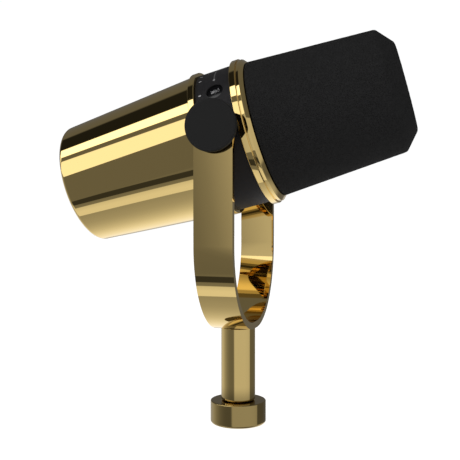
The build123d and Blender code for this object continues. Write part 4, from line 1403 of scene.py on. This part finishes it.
# ---------------------------------------------------------------- parts that stay as they came
class MICROPHONE_OT_inner_parts(bpy.types.Operator):
    """Give every part that still shows as it came its finish"""

    bl_idname = "microphone.inner_parts"
    bl_label = "Inner parts"

    def execute(self, context):
        for name, node in frame["nodes"].items():
            if node.hide_render:
                continue
            node.data.materials.clear()
            node.data.materials.append(finish_for(SLOT_OF_NODE[name]))
        return {"FINISHED"}


# ---------------------------------------------------------------- studio
class MICROPHONE_OT_studio(bpy.types.Operator):
    """Make the floor, the soft lights and the camera"""

    bl_idname = "microphone.studio"
    bl_label = "Studio"

    def execute(self, context):
        scene = context.scene
        look = scene.microphone.studio
        self.floor()
        scene.world = self.surroundings(look.brightness)
        camera = bpy.data.cameras.new("camera")
        camera.lens = look.lens
        camera.sensor_width = 36.0
        camera.clip_start = 0.01
        holder = bpy.data.objects.new("camera", camera)
        holder.location = PIVOT + Vector(look.camera_place)
        holder.rotation_euler = Vector(look.camera_aim).to_track_quat("-Z", "Y").to_euler()
        scene.collection.objects.link(holder)
        scene.camera = holder
        scene.view_settings.view_transform = "Standard"
        return {"FINISHED"}

    def floor(self):
        """Round pale floor just under the nut, which no surface reflects."""
        bm = bmesh.new()
        bmesh.ops.create_circle(bm, cap_ends=True, radius=6.0, segments=96)
        floor = loose_object("floor", bm)
        floor.location.z = -0.0005
        material, shading = new_finish("pale_floor")
        haze = shading.noise(300.0)
        tone = shading.between(haze, (0.36, 0.36, 0.36, 1.0), (0.38, 0.38, 0.38, 1.0))
        inputs = {
            "Base Color": tone,
            "Roughness": 0.9,
            "Emission Color": (1.0, 1.0, 1.0, 1.0),
            "Emission Strength": 0.97,
        }
        surface(shading, inputs)
        floor.data.materials.append(material)
        floor.visible_glossy = False
        floor.visible_diffuse = False

    def surroundings(self, brightness):
        """World of soft panels all round, by direction, which the camera sees as plain white."""
        world = bpy.data.worlds.new("studio")
        world.use_nodes = True
        shading = Shading(world.node_tree)
        direction = shading.make("ShaderNodeTexCoord", output="Generated")
        x = shading.make("ShaderNodeSeparateXYZ", None, {0: direction})
        y, z = (Value(shading, x.socket.node.outputs[number]) for number in (1, 2))
        degrees = 180.0 / math.pi
        height = z.math("ARCSINE") * degrees
        round_about = x.math("ARCTAN2", y * -1.0) * degrees

        level_panel = self.level_panel(shading, round_about, height)
        upper = self.overhead_panels(shading, x, y, z, level_panel)
        lower = self.low_panels(shading, round_about, height, y)
        front_share = shading.between_numbers(round_about, *FRONT_SECTOR, 4.0)
        edge_height = blend(front_share, -20.0, -37.0)
        edge_softness = blend(front_share, 5.0, 0.4)
        is_level = shading.step((height - edge_height) / edge_softness, -1.0, 1.0)
        light = blend(is_level, lower, level_panel)
        light = blend(shading.step(height, 3.5, 4.0), light, upper)

        colour = shading.make("ShaderNodeCombineColor", None, {0: light, 1: light, 2: light})
        seen = shading.make("ShaderNodeLightPath", output="Is Camera Ray")
        soft = shading.make("ShaderNodeBackground", None, {"Color": colour, "Strength": brightness})
        backdrop = {"Color": (1.0, 1.0, 1.0, 1.0), "Strength": 1.02}
        white = shading.make("ShaderNodeBackground", None, backdrop)
        both = shading.make("ShaderNodeMixShader", None, {0: seen, 1: soft, 2: white})
        shading.make("ShaderNodeOutputWorld", None, {"Surface": both})
        return world

    def level_panel(self, shading, round_about, height):
        """Panels at eye level. The edge of the broad one in front leans: it lies further round lower down."""
        in_front = 1.0 - shading.step(round_about, 10.0, 50.0)
        leaning = round_about + (height * 0.163 - 0.43) * in_front
        stops = [
            (-180, 0.5), (-165, 0.5), (-115, 0.58), (-100, 0.48), (-89, 0.37), (-69, 0.24),
            (-52, 0.18), (-40, 0.16), (-24, 0.155), (-19.5, 0.165), (-18, 0.19), (-16.5, 0.26),
            (-15, 0.38), (-12.5, 0.55), (-10, 0.59), (60, 0.6), (82, 0.575), (92, 0.54),
            (98, 0.5), (101, 0.14), (132, 0.13), (155, 0.135), (170, 0.14), (175, 0.5), (180, 0.5),
        ]
        return shading.levels(leaning, -180.0, 180.0, stops)

    def overhead_panels(self, shading, x, y, z, level_panel):
        """Panels with straight edges on a ceiling one unit up, and the level panel past its far edge."""
        over_x, over_y = x / z, y / z
        stops = [
            (-3.0, 1.32), (-1.19, 1.32), (-1.15, 0.15), (-0.82, 0.15), (-0.79, 2.15), (-0.37, 2.15),
            (-0.34, 0.015), (0.26, 0.015), (0.36, 0.135), (1.0, 0.135),
        ]
        ceiling = shading.levels(over_y, -3.0, 1.0, stops)
        side_wall = shading.levels(over_y, -3.0, 1.0, [(-3.0, 0.55), (-0.7, 0.5), (-0.2, 0.14), (1.0, 0.135)])
        ceiling = blend(shading.step(over_x, -0.4, -0.25), ceiling, side_wall)
        past_the_edge = shading.step(over_x - over_y, 1.96, 2.04)
        return blend(past_the_edge, ceiling, level_panel)

    def low_panels(self, shading, round_about, height, y):
        """Glow from the floor, and the slanting panels low in front."""
        glow = [
            (-1.0, 0.3), (-0.3, 0.345), (0.0, 0.42), (0.14, 0.49), (0.26, 0.576), (0.39, 0.684),
            (0.52, 0.827), (0.665, 1.0), (0.81, 1.11), (1.0, 1.12),
        ]
        floor_glow = shading.levels(y, -1.0, 1.0, glow)
        lean = height + (round_about.math("MAXIMUM", -75.0).math("MINIMUM", 20.0) + 27.0) * 0.4
        stops = [
            (-90, 0.35), (-72.6, 0.35), (-72.0, 0.84), (-62, 0.84), (-53.5, 0.72), (-52.6, 0.22),
            (-47.2, 0.2), (-46.4, 0.04), (-38.0, 0.04), (-37.2, 0.175), (-30, 0.17),
        ]
        slanting = shading.levels(lean, -90.0, -30.0, stops)
        is_front = shading.between_numbers(round_about, *FRONT_SECTOR, 2.0)
        is_front = is_front * shading.step(lean, -72.8, -72.2)
        return blend(is_front, floor_glow, slanting)


# ---------------------------------------------------------------- sidebar and registration
OPERATORS = (
    MICROPHONE_OT_stand,
    MICROPHONE_OT_yoke,
    MICROPHONE_OT_knobs,
    MICROPHONE_OT_housing,
    MICROPHONE_OT_rear_panel,
    MICROPHONE_OT_control_band,
    MICROPHONE_OT_front_rings,
    MICROPHONE_OT_grille,
    MICROPHONE_OT_windscreen,
    MICROPHONE_OT_inner_parts,
    MICROPHONE_OT_studio,
)


class MICROPHONE_PT_sidebar(bpy.types.Panel):
    """Lists the steps that make the microphone"""

    bl_idname = "MICROPHONE_PT_sidebar"
    bl_label = "Yoke Microphone"
    bl_space_type = "VIEW_3D"
    bl_region_type = "UI"
    bl_category = "Microphone"

    def draw(self, context):
        for operator in OPERATORS:
            self.layout.operator(operator.bl_idname)
        settings = context.scene.microphone
        for name in settings.bl_rna.properties.keys():
            group = getattr(settings, name)
            if isinstance(group, bpy.types.PropertyGroup):
                box = self.layout.box()
                for field in group.bl_rna.properties.keys():
                    if field not in ("rna_type", "name"):
                        box.prop(group, field)


CLASSES = (
    StandSizes,
    YokeSizes,
    KnobSizes,
    HousingSizes,
    RearPanelSizes,
    BandSizes,
    GrilleSizes,
    WindscreenSizes,
    Finishes,
    Studio,
    MicrophoneSettings,
    *OPERATORS,
    MICROPHONE_PT_sidebar,
)


def register():
    for cls in CLASSES:
        bpy.utils.register_class(cls)
    bpy.types.Scene.microphone = bpy.props.PointerProperty(type=MicrophoneSettings)


def unregister():
    del bpy.types.Scene.microphone
    for cls in reversed(CLASSES):
        bpy.utils.unregister_class(cls)


def main():
    register()
    for operator in OPERATORS:
        group, step = operator.bl_idname.split(".")
        getattr(getattr(bpy.ops, group), step)()


if __name__ == "__main__":
    main()
